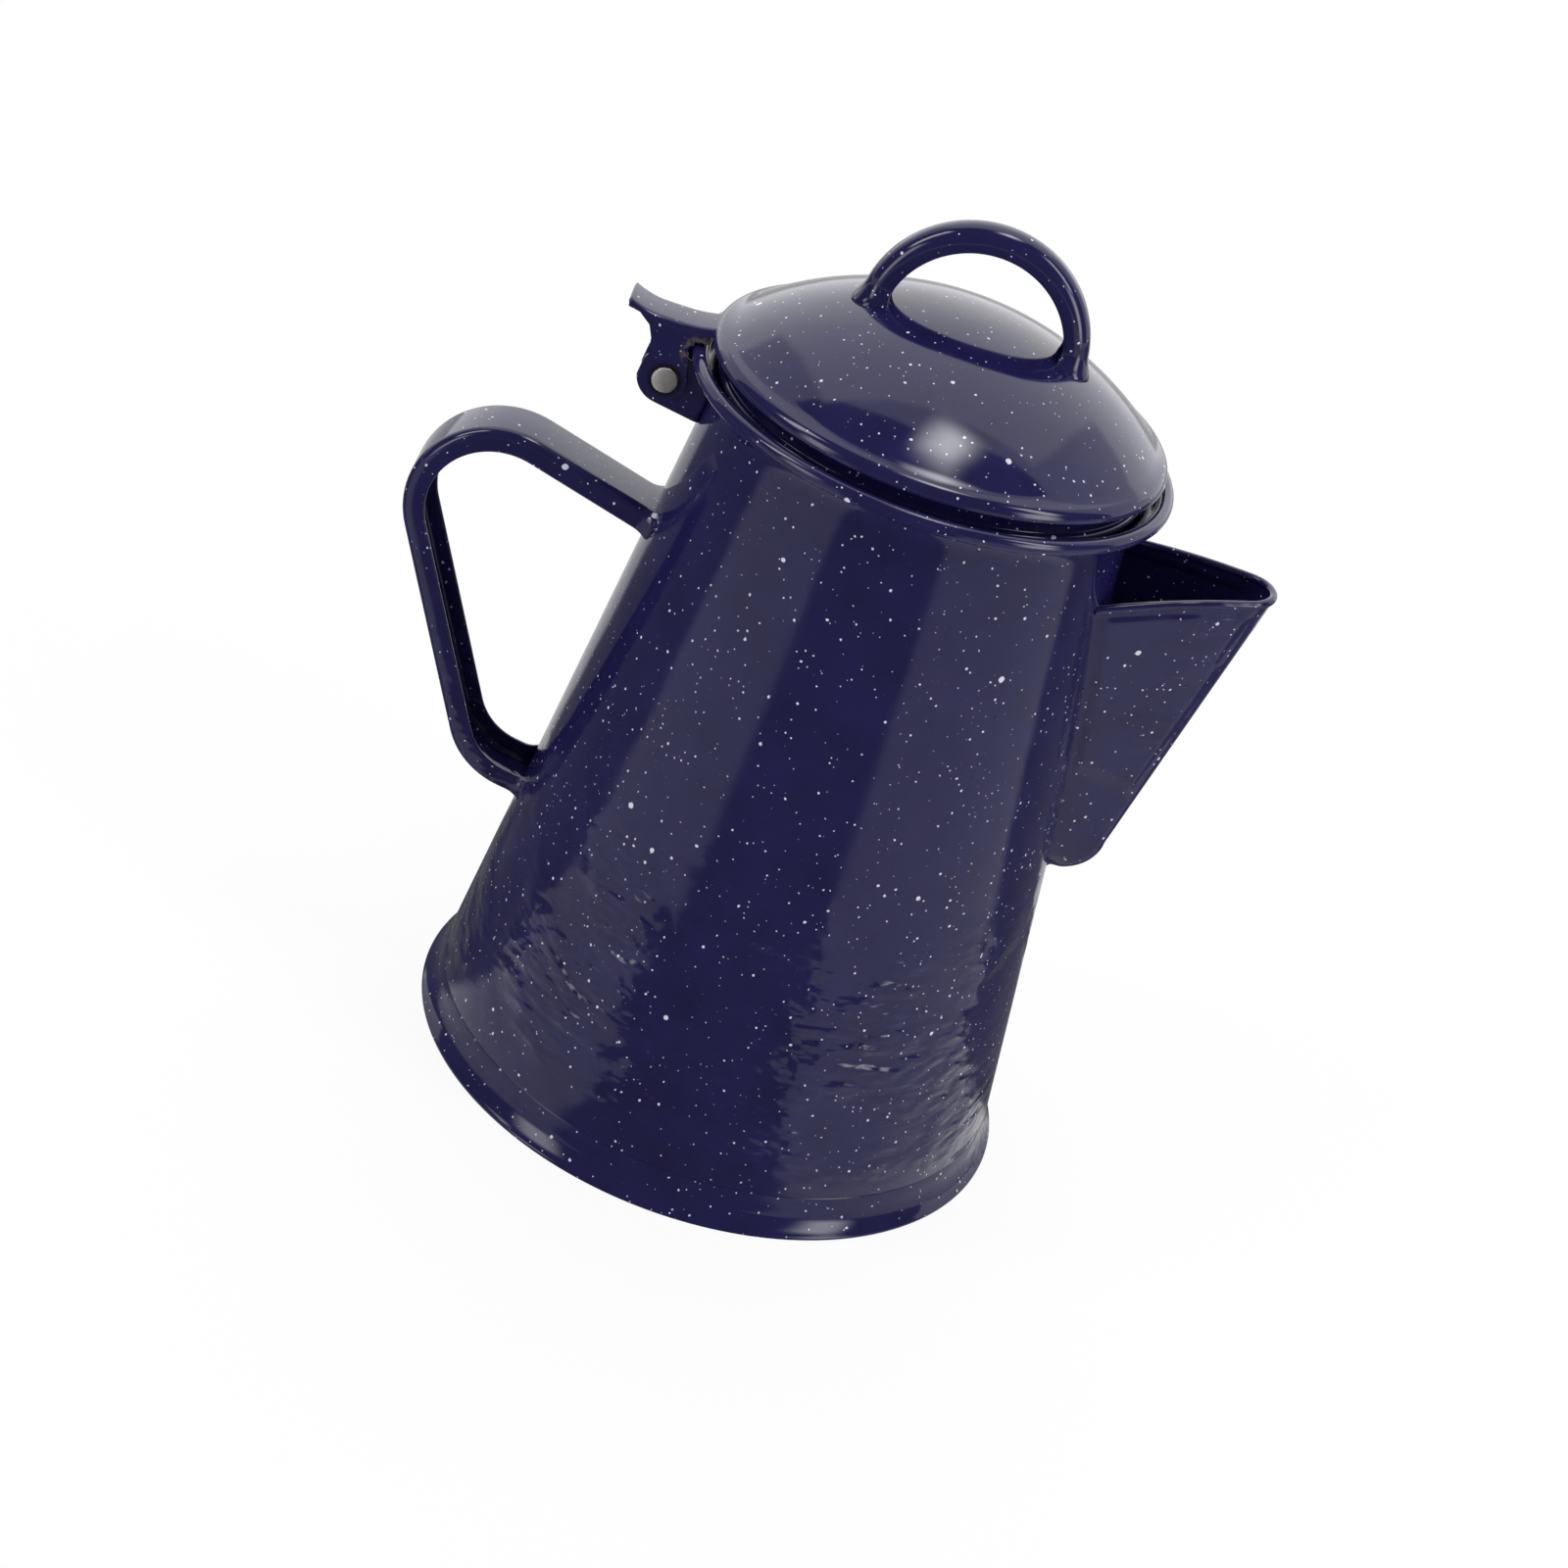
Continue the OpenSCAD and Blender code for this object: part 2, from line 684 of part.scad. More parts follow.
// One cheek: around the pin, up the back to the thumb lift, and over the rolled rim.
rim_at = [-rim_c[0], rim_c[1]];
notch_r = rim_roll_r + notch_gap;
function cheek_outline() = concat(
    arc(pin_at, cheek_r, 170, 385),
    arc(rim_at, notch_r, 215, 80),
    [[-hem_out_r - weld_gap, rim_c[1] + notch_r]],
    [[-hem_out_r - weld_gap, hem_low_z], [-hem_out_r + 2, hem_low_z + weld_gap]],
    [[-hem_out_r + 2, strap_z - 0.5]],
    [for (x = turned(strap_xs)) if (x < -hem_out_r + 2 && x > thumb_tip_x + 1) [x, strap_top(x) - 0.5]],
    [[thumb_tip_x + 2.6, strap_z - 0.2], [-pin_x - 6.4, strap_z - 2], [-pin_x - 5.3, strap_z - 5]]
);

module lid_hinge_strap() {
    out = strap_w / 2;
    color(navy)
        difference() {
            union() {
                strap_sheet(out);
                plate_xz(cheek_outline(), out - sheet, out);
                plate_xz(cheek_outline(), -out, sheet - out);
            }
            dome_envelope(weld_gap);
            pin_hole();
        }
}

body_wall();
base_pan();
spout();
handle();
hinge_bracket();
hinge_pin();
lid_dome();
lid_skirt();
lid_handle();
lid_hinge_strap();
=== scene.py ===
"""A speckled blue enamel coffee pot: a tapered body with a folded spout, a channel handle and a
hinged lid."""

from math import asin, atan, atan2, ceil, cos, degrees, hypot, pi, radians, sin, sqrt, tan

import bmesh
import bpy
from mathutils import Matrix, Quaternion, Vector


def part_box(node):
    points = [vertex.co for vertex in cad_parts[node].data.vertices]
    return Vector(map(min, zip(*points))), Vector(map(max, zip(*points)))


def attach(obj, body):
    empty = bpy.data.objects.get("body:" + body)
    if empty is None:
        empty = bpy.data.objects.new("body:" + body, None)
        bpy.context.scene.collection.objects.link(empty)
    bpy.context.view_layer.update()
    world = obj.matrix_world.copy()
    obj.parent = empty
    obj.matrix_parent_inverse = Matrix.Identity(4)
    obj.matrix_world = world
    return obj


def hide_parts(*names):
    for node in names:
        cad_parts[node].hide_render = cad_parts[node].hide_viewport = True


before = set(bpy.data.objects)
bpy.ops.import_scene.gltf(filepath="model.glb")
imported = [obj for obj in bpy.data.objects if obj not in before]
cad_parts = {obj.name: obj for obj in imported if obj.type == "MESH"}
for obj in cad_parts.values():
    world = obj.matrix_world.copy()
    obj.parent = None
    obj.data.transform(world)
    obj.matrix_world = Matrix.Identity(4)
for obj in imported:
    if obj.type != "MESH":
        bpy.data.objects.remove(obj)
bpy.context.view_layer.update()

# ---- Body wall ----
# The tapered wall is drawn from sheet steel, about 1 mm thick with its enamel on both faces.
# Its mouth is flared out and rolled into a bead, and a strainer is punched through it where
# the spout is welded on.

MM = 0.001
SHEET = 1.0
CONE_R = 66.1  # outer radius, with the wall carried down to the table
THROAT_R = 45.8  # outer radius where the mouth starts to flare
THROAT_Z = 157.0
MOUTH_CURVE_R = 6.5
MOUTH_END = 112  # degrees round the mouth's curve at which the bead begins
BEAD_R = 1.7
SPIGOT_H = 5.0  # height of the base pan's edge inside the wall
SEAM_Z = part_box("base_pan")[1].z / MM - SPIGOT_H
RING_STEPS = 192
WALL_RINGS = 14
MERGE = 0.004  # points that lie closer than this are one point
WALL_SLOPE = degrees(atan((CONE_R - THROAT_R) / THROAT_Z))


def wall_r(z):
    """Outer radius of the wall at a height."""
    return CONE_R - z * tan(radians(WALL_SLOPE))


def arc(centre, radius, start, end, step=6):
    """Points of an arc in a flat outline, both ends included."""
    count = max(2, ceil(abs(end - start) / step))
    turns = [radians(start + (end - start) * i / count) for i in range(count + 1)]
    return [(centre[0] + radius * cos(a), centre[1] + radius * sin(a)) for a in turns]


def straight(start, end, count):
    """Evenly spaced points on a line, without its first one."""
    return [tuple(a + (b - a) * i / count for a, b in zip(start, end)) for i in range(1, count + 1)]


def deselect():
    """Deselects every object, before a new one is added."""
    bpy.ops.object.select_all(action="DESELECT")


def start_ring(name, radius, height, fill="NOTHING"):
    """Adds a flat ring round the pot's axis and leaves its rim selected in edit mode."""
    deselect()
    bpy.ops.mesh.primitive_circle_add(
        vertices=RING_STEPS, radius=radius * MM, fill_type=fill, location=(0, 0, height * MM))
    piece = bpy.context.object
    piece.name = piece.data.name = name
    bpy.ops.object.transform_apply(location=True, rotation=True, scale=True)
    bpy.ops.object.mode_set(mode="EDIT")
    bpy.ops.mesh.select_mode(type="EDGE")
    if fill != "NOTHING":
        bpy.ops.mesh.region_to_loop()
    return piece


def pull_ring(outline):
    """Extrudes the selected ring from point to point of an outline of (radius, height)."""
    for (r0, z0), (r1, z1) in zip(outline, outline[1:]):
        bpy.ops.mesh.extrude_region_move(TRANSFORM_OT_translate={"value": (0, 0, (z1 - z0) * MM)})
        bpy.ops.transform.resize(value=(r1 / r0, r1 / r0, 1), center_override=(0, 0, 0))


def close_mesh():
    """Merges doubled points, turns the faces outwards and leaves edit mode."""
    bpy.ops.mesh.select_all(action="SELECT")
    bpy.ops.mesh.remove_doubles(threshold=MERGE * MM)
    bpy.ops.mesh.normals_make_consistent(inside=False)
    bpy.ops.object.mode_set(mode="OBJECT")


def use_modifier(piece, kind, **settings):
    """Adds a modifier to a piece, sets it and applies it."""
    modifier = piece.modifiers.new(kind.title(), kind)
    for name, value in settings.items():
        setattr(modifier, name, value)
    bpy.context.view_layer.objects.active = piece
    bpy.ops.object.modifier_apply(modifier=modifier.name)


def soften(piece, width, angle=35):
    """Rounds a piece's sharp edges and creases as enamel does, and shades it smooth."""
    use_modifier(piece, "BEVEL", width=width * MM, segments=3, limit_method="ANGLE",
                 angle_limit=radians(angle), use_clamp_overlap=True)
    shade(piece)


def shade(piece, angle=35):
    """Merges a finished piece's doubled points and shades it smooth, apart from sharp edges."""
    use_modifier(piece, "WELD", merge_threshold=MERGE * MM)
    deselect()
    piece.select_set(True)
    bpy.context.view_layer.objects.active = piece
    bpy.ops.object.shade_smooth_by_angle(angle=radians(angle))


def cut(piece, tool, operation="DIFFERENCE"):
    """Cuts a piece with a tool shape, joins them or keeps what they share, and drops the tool."""
    use_modifier(piece, "BOOLEAN", object=tool, operation=operation, solver="EXACT")
    bpy.data.objects.remove(tool)


def polar(centre, radius, angle):
    """A point of a flat outline at an angle round a centre."""
    return (centre[0] + radius * cos(radians(angle)), centre[1] + radius * sin(radians(angle)))


mouth_c = (THROAT_R + MOUTH_CURVE_R * cos(radians(WALL_SLOPE)),
           THROAT_Z + MOUTH_CURVE_R * sin(radians(WALL_SLOPE)))
mouth_start = 180 + WALL_SLOPE
sheet_end = polar(mouth_c, MOUTH_CURVE_R + SHEET / 2, MOUTH_END)
bead_c = polar(sheet_end, BEAD_R - SHEET / 2, MOUTH_END - 90)
bead_open = degrees(asin(SHEET / 2 / BEAD_R))
inner_r = wall_r(SEAM_Z) - SHEET / cos(radians(WALL_SLOPE))
outer_face = straight((wall_r(SEAM_Z), SEAM_Z), (THROAT_R, THROAT_Z), WALL_RINGS)
mouth_back = arc(mouth_c, MOUTH_CURVE_R, mouth_start, MOUTH_END)
bead = arc(bead_c, BEAD_R, MOUTH_END + 90 + bead_open, MOUTH_END + 450 - bead_open, 15)
mouth_face = arc(mouth_c, MOUTH_CURVE_R + SHEET, MOUTH_END, mouth_start)
inner_face = straight(mouth_face[-1], (inner_r, SEAM_Z), WALL_RINGS)

wall = start_ring("pot_wall", inner_r, SEAM_Z)
pull_ring([(inner_r, SEAM_Z), (wall_r(SEAM_Z), SEAM_Z)] + outer_face + mouth_back[1:-1] + bead
          + mouth_face[1:] + inner_face)
close_mesh()

STRAINER_D = 4.0
STRAINER_PITCH = 7.0
STRAINER_TOP_Z = 131.0
STRAINER_ROWS = 4  # the top row has as many holes, and each row under it has one fewer
PUNCH_X = 50.0
PUNCH_LENGTH = 30.0
for row in range(STRAINER_ROWS):
    count = STRAINER_ROWS - row
    for hole in range(count):
        y = (hole - (count - 1) / 2) * STRAINER_PITCH
        z = STRAINER_TOP_Z - row * STRAINER_PITCH * sin(radians(60))
        deselect()
        bpy.ops.mesh.primitive_cylinder_add(
            vertices=40, radius=STRAINER_D / 2 * MM, depth=PUNCH_LENGTH * MM,
            location=(PUNCH_X * MM, y * MM, z * MM), rotation=(0, radians(90), 0))
        cut(wall, bpy.context.object)
soften(wall, width=0.3, angle=30)


def linear(hex_colour):
    """Turns an sRGB hex colour into linear RGBA."""
    parts = [int(hex_colour[i:i + 2], 16) / 255 for i in (1, 3, 5)]
    return [c / 12.92 if c <= 0.04045 else ((c + 0.055) / 1.055) ** 2.4 for c in parts] + [1]


def new_material(name):
    """Adds a node material and returns it with its shader."""
    material = bpy.data.materials.new(name)
    material.use_nodes = True
    return material, material.node_tree.nodes["Principled BSDF"]


def add_node(material, kind, settings=None, inputs=None):
    """Adds a node, sets its properties, and sets or links its inputs."""
    node = material.node_tree.nodes.new("ShaderNode" + kind)
    for name, value in (settings or {}).items():
        setattr(node, name, value)
    for name, value in (inputs or {}).items():
        if isinstance(value, bpy.types.NodeSocket):
            material.node_tree.links.new(value, node.inputs[name])
        else:
            node.inputs[name].default_value = value
    return node


def link(material, socket, shader, name):
    """Links a node's output to one of the shader's inputs."""
    material.node_tree.links.new(socket, shader.inputs[name])


# Vitreous enamel: ground blue glass fused on steel, glossy like glass. White frit spattered on
# before firing leaves sharp round specks, and the dipped coat lies in soft waves and runs.
ENAMEL_BLUE = "#221F50"
ENAMEL_DEEP = "#171439"
SPECK_WHITE = "#D6D4E6"
SPECK_DARK = "#0C0A1C"
RAGGED_MM = 0.6  # length along a speck's outline over which it strays
STRAY_MM = 0.35  # strength of the straying, which comes to about 0.1 mm
CLOUD_MM = 11  # width of the paler and darker clouds in the ground
RUN_MM = 3.6  # spacing of the runs
RUN_DEPTH = 1.6
PATCH_MM = 22  # width of the patches with and without runs
WAVE_MM = 16
WAVE_DEPTH = 0.16
SMOOTH = {"interpolation_type": "SMOOTHSTEP"}

enamel, shader = new_material("vitreous_enamel_speckled")
shader.inputs["IOR"].default_value = 1.46
place = add_node(enamel, "TexCoord").outputs["Object"]
shift = add_node(enamel, "TexNoise", inputs={
    "Vector": place, "Scale": 1 / (RAGGED_MM * MM), "Detail": 1.0})
centred = add_node(enamel, "VectorMath", {"operation": "SUBTRACT"},
                   {0: shift.outputs["Color"], 1: (0.5, 0.5, 0.5)})
offset = add_node(enamel, "VectorMath", {"operation": "SCALE"},
                  {0: centred.outputs["Vector"], "Scale": STRAY_MM * MM})
ragged = add_node(enamel, "VectorMath", {"operation": "ADD"}, {
    0: place, 1: offset.outputs["Vector"]})


def specks(cell, smallest, largest, rarity, softness=0.05):
    """Round specks scattered in space, one for each cell; a higher rarity makes more of them
    small. All sizes are in mm."""
    cells = add_node(enamel, "TexVoronoi", inputs={
        "Vector": ragged.outputs["Vector"], "Scale": 1 / (cell * MM)})
    chance = add_node(enamel, "SeparateColor", inputs={"Color": cells.outputs["Color"]})
    rare = add_node(enamel, "Math", {"operation": "POWER"}, {
        0: chance.outputs["Red"], 1: rarity})
    radius = add_node(enamel, "MapRange", inputs={
        "Value": rare.outputs["Value"], "To Min": smallest / cell, "To Max": largest / cell})
    depth = add_node(enamel, "Math", {"operation": "SUBTRACT"},
                     {0: radius.outputs["Result"], 1: cells.outputs["Distance"]})
    return add_node(enamel, "MapRange", inputs={
        "Value": depth.outputs["Value"], "From Max": softness / cell}).outputs["Result"]


fine = specks(cell=1.5, smallest=0.02, largest=0.24, rarity=1.6)
middling = specks(cell=2.0, smallest=0.0, largest=0.36, rarity=2.0)
large = specks(cell=7.0, smallest=0.0, largest=0.8, rarity=3.0)
dark = specks(cell=10.0, smallest=0.0, largest=0.55, rarity=2.0)
small_ones = add_node(enamel, "Math", {"operation": "MAXIMUM"}, {0: fine, 1: middling})
white = add_node(enamel, "Math", {"operation": "MAXIMUM"}, {
    0: small_ones.outputs["Value"], 1: large})
cloud = add_node(enamel, "TexNoise", inputs={"Vector": place, "Scale": 1 / (CLOUD_MM * MM)})
ground = add_node(enamel, "Mix", {"data_type": "RGBA"}, {
    "Factor": cloud.outputs["Fac"], 6: linear(ENAMEL_DEEP), 7: linear(ENAMEL_BLUE)})
spotted = add_node(enamel, "Mix", {"data_type": "RGBA"}, {
    "Factor": dark, 6: ground.outputs[2], 7: linear(SPECK_DARK)})
coat = add_node(enamel, "Mix", {"data_type": "RGBA"}, {
    "Factor": white.outputs["Value"], 6: spotted.outputs[2], 7: linear(SPECK_WHITE)})
link(enamel, coat.outputs[2], shader, "Base Color")
sheen = add_node(enamel, "MapRange", inputs={
    "Value": cloud.outputs["Fac"], "To Min": 0.04, "To Max": 0.12})
link(enamel, sheen.outputs["Result"], shader, "Roughness")
# The relief, in mm: gentle waves all over, and runs a few mm apart in patches low on the body
# and on the spout, where the glaze sagged as it was fired.
axes = add_node(enamel, "SeparateXYZ", inputs={"Vector": place})
low = add_node(enamel, "MapRange", SMOOTH, {
    "Value": axes.outputs["Z"], "From Min": 90 * MM, "From Max": 45 * MM})
off_foot = add_node(enamel, "MapRange", SMOOTH, {
    "Value": axes.outputs["Z"], "From Min": 8 * MM, "From Max": 18 * MM})
low_wall = add_node(enamel, "Math", {"operation": "MULTIPLY"}, {
    0: low.outputs["Result"], 1: off_foot.outputs["Result"]})
on_spout = add_node(enamel, "MapRange", SMOOTH, {
    "Value": axes.outputs["X"], "From Min": 59 * MM, "From Max": 66 * MM, "To Max": 0.4})
patches = add_node(enamel, "TexNoise", inputs={
    "Vector": place, "Scale": 1 / (PATCH_MM * MM), "Detail": 0.0})
patchy = add_node(enamel, "MapRange", SMOOTH, {
    "Value": patches.outputs["Fac"], "From Min": 0.36, "From Max": 0.58, "To Min": 0.15})
sag_area = add_node(enamel, "Math", {"operation": "MAXIMUM"}, {
    0: low_wall.outputs["Value"], 1: on_spout.outputs["Result"]})
sagged = add_node(enamel, "Math", {"operation": "MULTIPLY"}, {
    0: sag_area.outputs["Value"], 1: patchy.outputs["Result"]})
flat = add_node(enamel, "Mapping", inputs={"Vector": place, "Scale": (0.45, 0.45, 1)})
runs = add_node(enamel, "TexNoise", inputs={
    "Vector": flat.outputs["Vector"], "Scale": 1 / (RUN_MM * MM), "Detail": 1.5, "Roughness": 0.45})
run_depth = add_node(enamel, "MapRange", inputs={
    "Value": sagged.outputs["Value"], "To Max": RUN_DEPTH})
run_relief = add_node(enamel, "Math", {"operation": "MULTIPLY"}, {
    0: runs.outputs["Fac"], 1: run_depth.outputs["Result"]})
waves = add_node(enamel, "TexNoise", inputs={
    "Vector": place, "Scale": 1 / (WAVE_MM * MM), "Detail": 1.0})
relief = add_node(enamel, "Math", {"operation": "MULTIPLY_ADD"}, {
    0: waves.outputs["Fac"], 1: WAVE_DEPTH, 2: run_relief.outputs["Value"]})
bump = add_node(enamel, "Bump", inputs={"Height": relief.outputs["Value"], "Distance": MM})
link(enamel, bump.outputs["Normal"], shader, "Normal")


def paint(piece, material):
    """Gives a piece its one material, in place of any slot that a cutting tool left."""
    piece.data.materials.clear()
    piece.data.materials.append(material)


paint(wall, enamel)
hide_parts("body_wall")
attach(wall, "pot")

# ---- Base pan ----
# The bottom is a pressed pan. Its foot curves out past the wall to the widest circle of the pot,
# and its upper edge is let into the wall and welded. Enamel fills the seam, which stays visible
# as a shallow line.

FOOT_R = 68.1
FOOT_CORNER_R = 0.6
FOOT_SLOPE = 45
SPIGOT_GAP = 0.1

corner_c = (FOOT_R - FOOT_CORNER_R, FOOT_CORNER_R)
flare_low = polar(corner_c, FOOT_CORNER_R, FOOT_SLOPE)
cross_z = (flare_low[0] + flare_low[1] * tan(radians(FOOT_SLOPE)) - CONE_R) / (
    tan(radians(FOOT_SLOPE)) - tan(radians(WALL_SLOPE)))
flare_reach = hypot(wall_r(cross_z) - flare_low[0], cross_z - flare_low[1])
flare_r = flare_reach / tan(radians(FOOT_SLOPE - WALL_SLOPE) / 2)
flare_top = polar((wall_r(cross_z), cross_z), flare_reach, 90 + WALL_SLOPE)
flare_c = polar(flare_top, flare_r, WALL_SLOPE)
floor_turn = 180 + degrees(asin((flare_c[1] - SHEET) / (flare_r + SHEET)))
spigot_low = (inner_r - SPIGOT_GAP, SEAM_Z)
spigot_top = (wall_r(SEAM_Z + SPIGOT_H) - wall_r(SEAM_Z) + spigot_low[0], SEAM_Z + SPIGOT_H)

pan = start_ring("base_dish", corner_c[0], 0, "TRIFAN")
pull_ring(arc(corner_c, FOOT_CORNER_R, -90, FOOT_SLOPE, 15)
          + arc(flare_c, flare_r, 180 + FOOT_SLOPE, 180 + WALL_SLOPE, 3)[1:]
          + [(wall_r(SEAM_Z), SEAM_Z), spigot_low, spigot_top,
             (spigot_top[0] - SHEET, spigot_top[1]), (spigot_low[0] - SHEET, SEAM_Z - SHEET)]
          + arc(flare_c, flare_r + SHEET, 180 + WALL_SLOPE, floor_turn, 3)
          + [(FOOT_R / 2, SHEET), (SHEET, SHEET)])
bpy.ops.mesh.merge(type="CENTER")
close_mesh()
soften(pan, width=0.3, angle=30)
paint(pan, enamel)
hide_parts("base_pan")
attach(pan, "pot")

# ---- Spout ----
# One piece of sheet is folded into a V round the nose and welded to the wall over the strainer.
# Each side has a long raised panel pressed into it, which stiffens the sheet. The lip is rolled
# and rises in a low bow from the wall to the tip.

SPOUT_REACH = 80.2
TIP_Z = 151.3
LIP_ROOT_Z = 144.0
LIP_HALF_W = 19.8
SPOUT_FOOT_HALF_W = 4.6
SPOUT_FOOT_REACH = 66.9
SPOUT_FOOT_Z = 83.0
SPOUT_BASE_Z = 73.5
NOSE_R = 3.4
NOSE_LIP_R = 8.0
LIP_BOW = 0.9
LIP_ROLL_R = 0.95
PANEL_RISE = 0.75
PANEL_MARGIN = 2.2  # flat strip between the panel and the lip, the nose and the wall
PANEL_BEVEL = 1.8  # width of the slope round the panel
PANEL_END_Z = 94.0
SPOUT_SHEET = 1.1
SPOUT_ROWS = 110
SPOUT_COLUMNS = 72
FIRST_ROW = 0.02  # the sheet starts here, where the fold is just wide enough to draw
LIP_STEPS = 60
ROOT_CLIMB = 1.12  # power by which the sheet's edge on the wall climbs with the nose
NOSE_SHARE = 0.8  # most of the fold's length and half width that its nose takes up
NOSE_STRETCH = 1.02  # length along the nose for each mm of height
WELD_IN = 0.25  # how far a welded piece is let into what it stands on
TRIM_LOW_Z = 20


def nose_at(t):
    """Side view of the nose: round the foot's bend by t = 1/3, then straight to the tip."""
    foot_x = wall_r(SPOUT_BASE_Z)
    if t < 1 / 3:
        a = radians(90 * 3 * t)
        return (foot_x + (SPOUT_FOOT_REACH - foot_x) * sin(a),
                SPOUT_BASE_Z + (SPOUT_FOOT_Z - SPOUT_BASE_Z) * (1 - cos(a)))
    s = (t - 1 / 3) * 1.5
    return (SPOUT_FOOT_REACH + (SPOUT_REACH - SPOUT_FOOT_REACH) * s,
            SPOUT_FOOT_Z + (TIP_Z - SPOUT_FOOT_Z) * s)


def ease(x):
    """A smooth step from 0 to 1 as x goes from 0 to 1."""
    x = min(1, max(0, x))
    return x * x * (3 - 2 * x)


def spout_point(t, u):
    """A point of the folded sheet. t runs up the nose, and u from the wall (0) to the nose (1)."""
    tip_x, tip_z = nose_at(t)
    root_z = SPOUT_BASE_Z + 1 + (LIP_ROOT_Z - SPOUT_BASE_Z - 1) * t ** ROOT_CLIMB
    half = SPOUT_FOOT_HALF_W + (LIP_HALF_W - SPOUT_FOOT_HALF_W) * (root_z - SPOUT_BASE_Z) / (
        LIP_ROOT_Z - SPOUT_BASE_Z)
    root_x = sqrt(wall_r(root_z) ** 2 - half ** 2)
    length = tip_x - root_x
    r = min(NOSE_R + (NOSE_LIP_R - NOSE_R) * t ** 3, length * NOSE_SHARE, half * NOSE_SHARE)
    centre = length - r
    gap = hypot(centre, half)
    lean = atan2(half, centre) - asin(min(0.999, r / gap))
    side = sqrt(max(0.01, gap * gap - r * r))
    fold = r * (pi / 2 - lean)
    path = u * (side + fold)
    if path < side:
        down_lip = (TIP_Z - tip_z) * NOSE_STRETCH
        from_nose = side - path + fold / 2
        rise = min(ease((down_lip - PANEL_MARGIN) / PANEL_BEVEL),
                   ease((from_nose - PANEL_MARGIN) / PANEL_BEVEL),
                   ease((path - PANEL_MARGIN / 2) / PANEL_BEVEL),
                   ease((tip_z - PANEL_END_Z) / (4 * PANEL_BEVEL)))
        across = half - path * sin(lean) + rise * PANEL_RISE * cos(lean)
        out = path * cos(lean) + rise * PANEL_RISE * sin(lean)
    else:
        turn = (pi / 2 - lean) * (1 - (path - side) / fold)
        across = r * sin(turn)
        out = centre + r * cos(turn)
    share = out / length
    z = root_z + (tip_z - root_z) * share + LIP_BOW * t * sin(pi * share)
    x = root_x + out
    return x, across, z


def off_wall(x, y, z):
    """Keeps a point of the spout out of the wall, but for the depth of the weld."""
    return max(x, sqrt(max(0, (wall_r(z) - WELD_IN) ** 2 - y * y)))


def trim_to_rings(piece, name, outline):
    """Cuts away what lies inside a turned form about the pot's axis, given as (radius, height)."""
    tool = start_ring(name, outline[0][0], outline[0][1], "TRIFAN")
    pull_ring(outline)
    bpy.ops.mesh.merge(type="CENTER")
    close_mesh()
    cut(piece, tool)


wall_trim = [(wall_r(TRIM_LOW_Z) - WELD_IN, TRIM_LOW_Z), (THROAT_R - WELD_IN, THROAT_Z),
             (1, THROAT_Z)]

deselect()
bpy.ops.mesh.primitive_grid_add(x_subdivisions=SPOUT_COLUMNS, y_subdivisions=SPOUT_ROWS, size=2)
spout = bpy.context.object
spout.name = spout.data.name = "folded_spout"
for vertex in spout.data.vertices:
    across, along = vertex.co.x, (vertex.co.y + 1) / 2
    x, y, z = spout_point(FIRST_ROW + (1 - FIRST_ROW) * along, 1 - abs(across))
    y = y if across > 0 else -y
    vertex.co = Vector((off_wall(x, y, z), y, z)) * MM
bpy.ops.object.mode_set(mode="EDIT")
bpy.ops.mesh.select_all(action="SELECT")
bpy.ops.mesh.normals_make_consistent(inside=False)
bpy.ops.object.mode_set(mode="OBJECT")
nose_face = max(spout.data.polygons, key=lambda face: face.center.x)
if nose_face.normal.x < 0:
    spout.data.flip_normals()
use_modifier(spout, "SOLIDIFY", thickness=SPOUT_SHEET * MM, offset=-1, use_even_offset=False)
soften(spout, width=0.42, angle=50)

# The lip's roll: a ring of points is opened at one edge, laid along the lip and given its bead.
half_lip = [spout_point(1, 1 - abs(i) / LIP_STEPS) for i in range(-LIP_STEPS, LIP_STEPS + 1)]
lip_line = [(x, y if i > LIP_STEPS else -y, z) for i, (x, y, z) in enumerate(half_lip)]
deselect()
bpy.ops.mesh.primitive_circle_add(vertices=len(lip_line), radius=1)
lip_roll = bpy.context.object
bpy.ops.object.mode_set(mode="EDIT")
bpy.ops.mesh.select_mode(type="EDGE")
bpy.ops.mesh.select_all(action="DESELECT")
mesh = bmesh.from_edit_mesh(lip_roll.data)
mesh.edges.ensure_lookup_table()
mesh.verts.ensure_lookup_table()
ends = {mesh.verts[0], mesh.verts[-1]}
next(edge for edge in mesh.edges if set(edge.verts) == ends).select_set(True)
bmesh.update_edit_mesh(lip_roll.data)
bpy.ops.mesh.delete(type="EDGE_FACE")
bpy.ops.object.mode_set(mode="OBJECT")
for i, vertex in enumerate(lip_roll.data.vertices):
    before, after = lip_line[max(0, i - 1)], lip_line[min(len(lip_line) - 1, i + 1)]
    inwards = Vector((before[1] - after[1], after[0] - before[0], 0)).normalized()
    vertex.co = (Vector(lip_line[i]) + inwards * SHEET / 2) * MM
bpy.ops.object.convert(target="CURVE")
lip_roll.data.bevel_depth = LIP_ROLL_R * MM
lip_roll.data.bevel_resolution = 4
lip_roll.data.use_fill_caps = True
bpy.ops.object.convert(target="MESH")
bpy.ops.object.mode_set(mode="EDIT")
close_mesh()
cut(spout, lip_roll, "UNION")
trim_to_rings(spout, "wall_trim", wall_trim)
shade(spout)
paint(spout, enamel)
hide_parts("spout")
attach(spout, "pot")

# ---- Handle ----
# The handle is a channel pressed from one strip, with rounded shoulders and its flanges turned
# in. It is bent twice and welded to the wall at both ends, and the enamel runs over the welds.

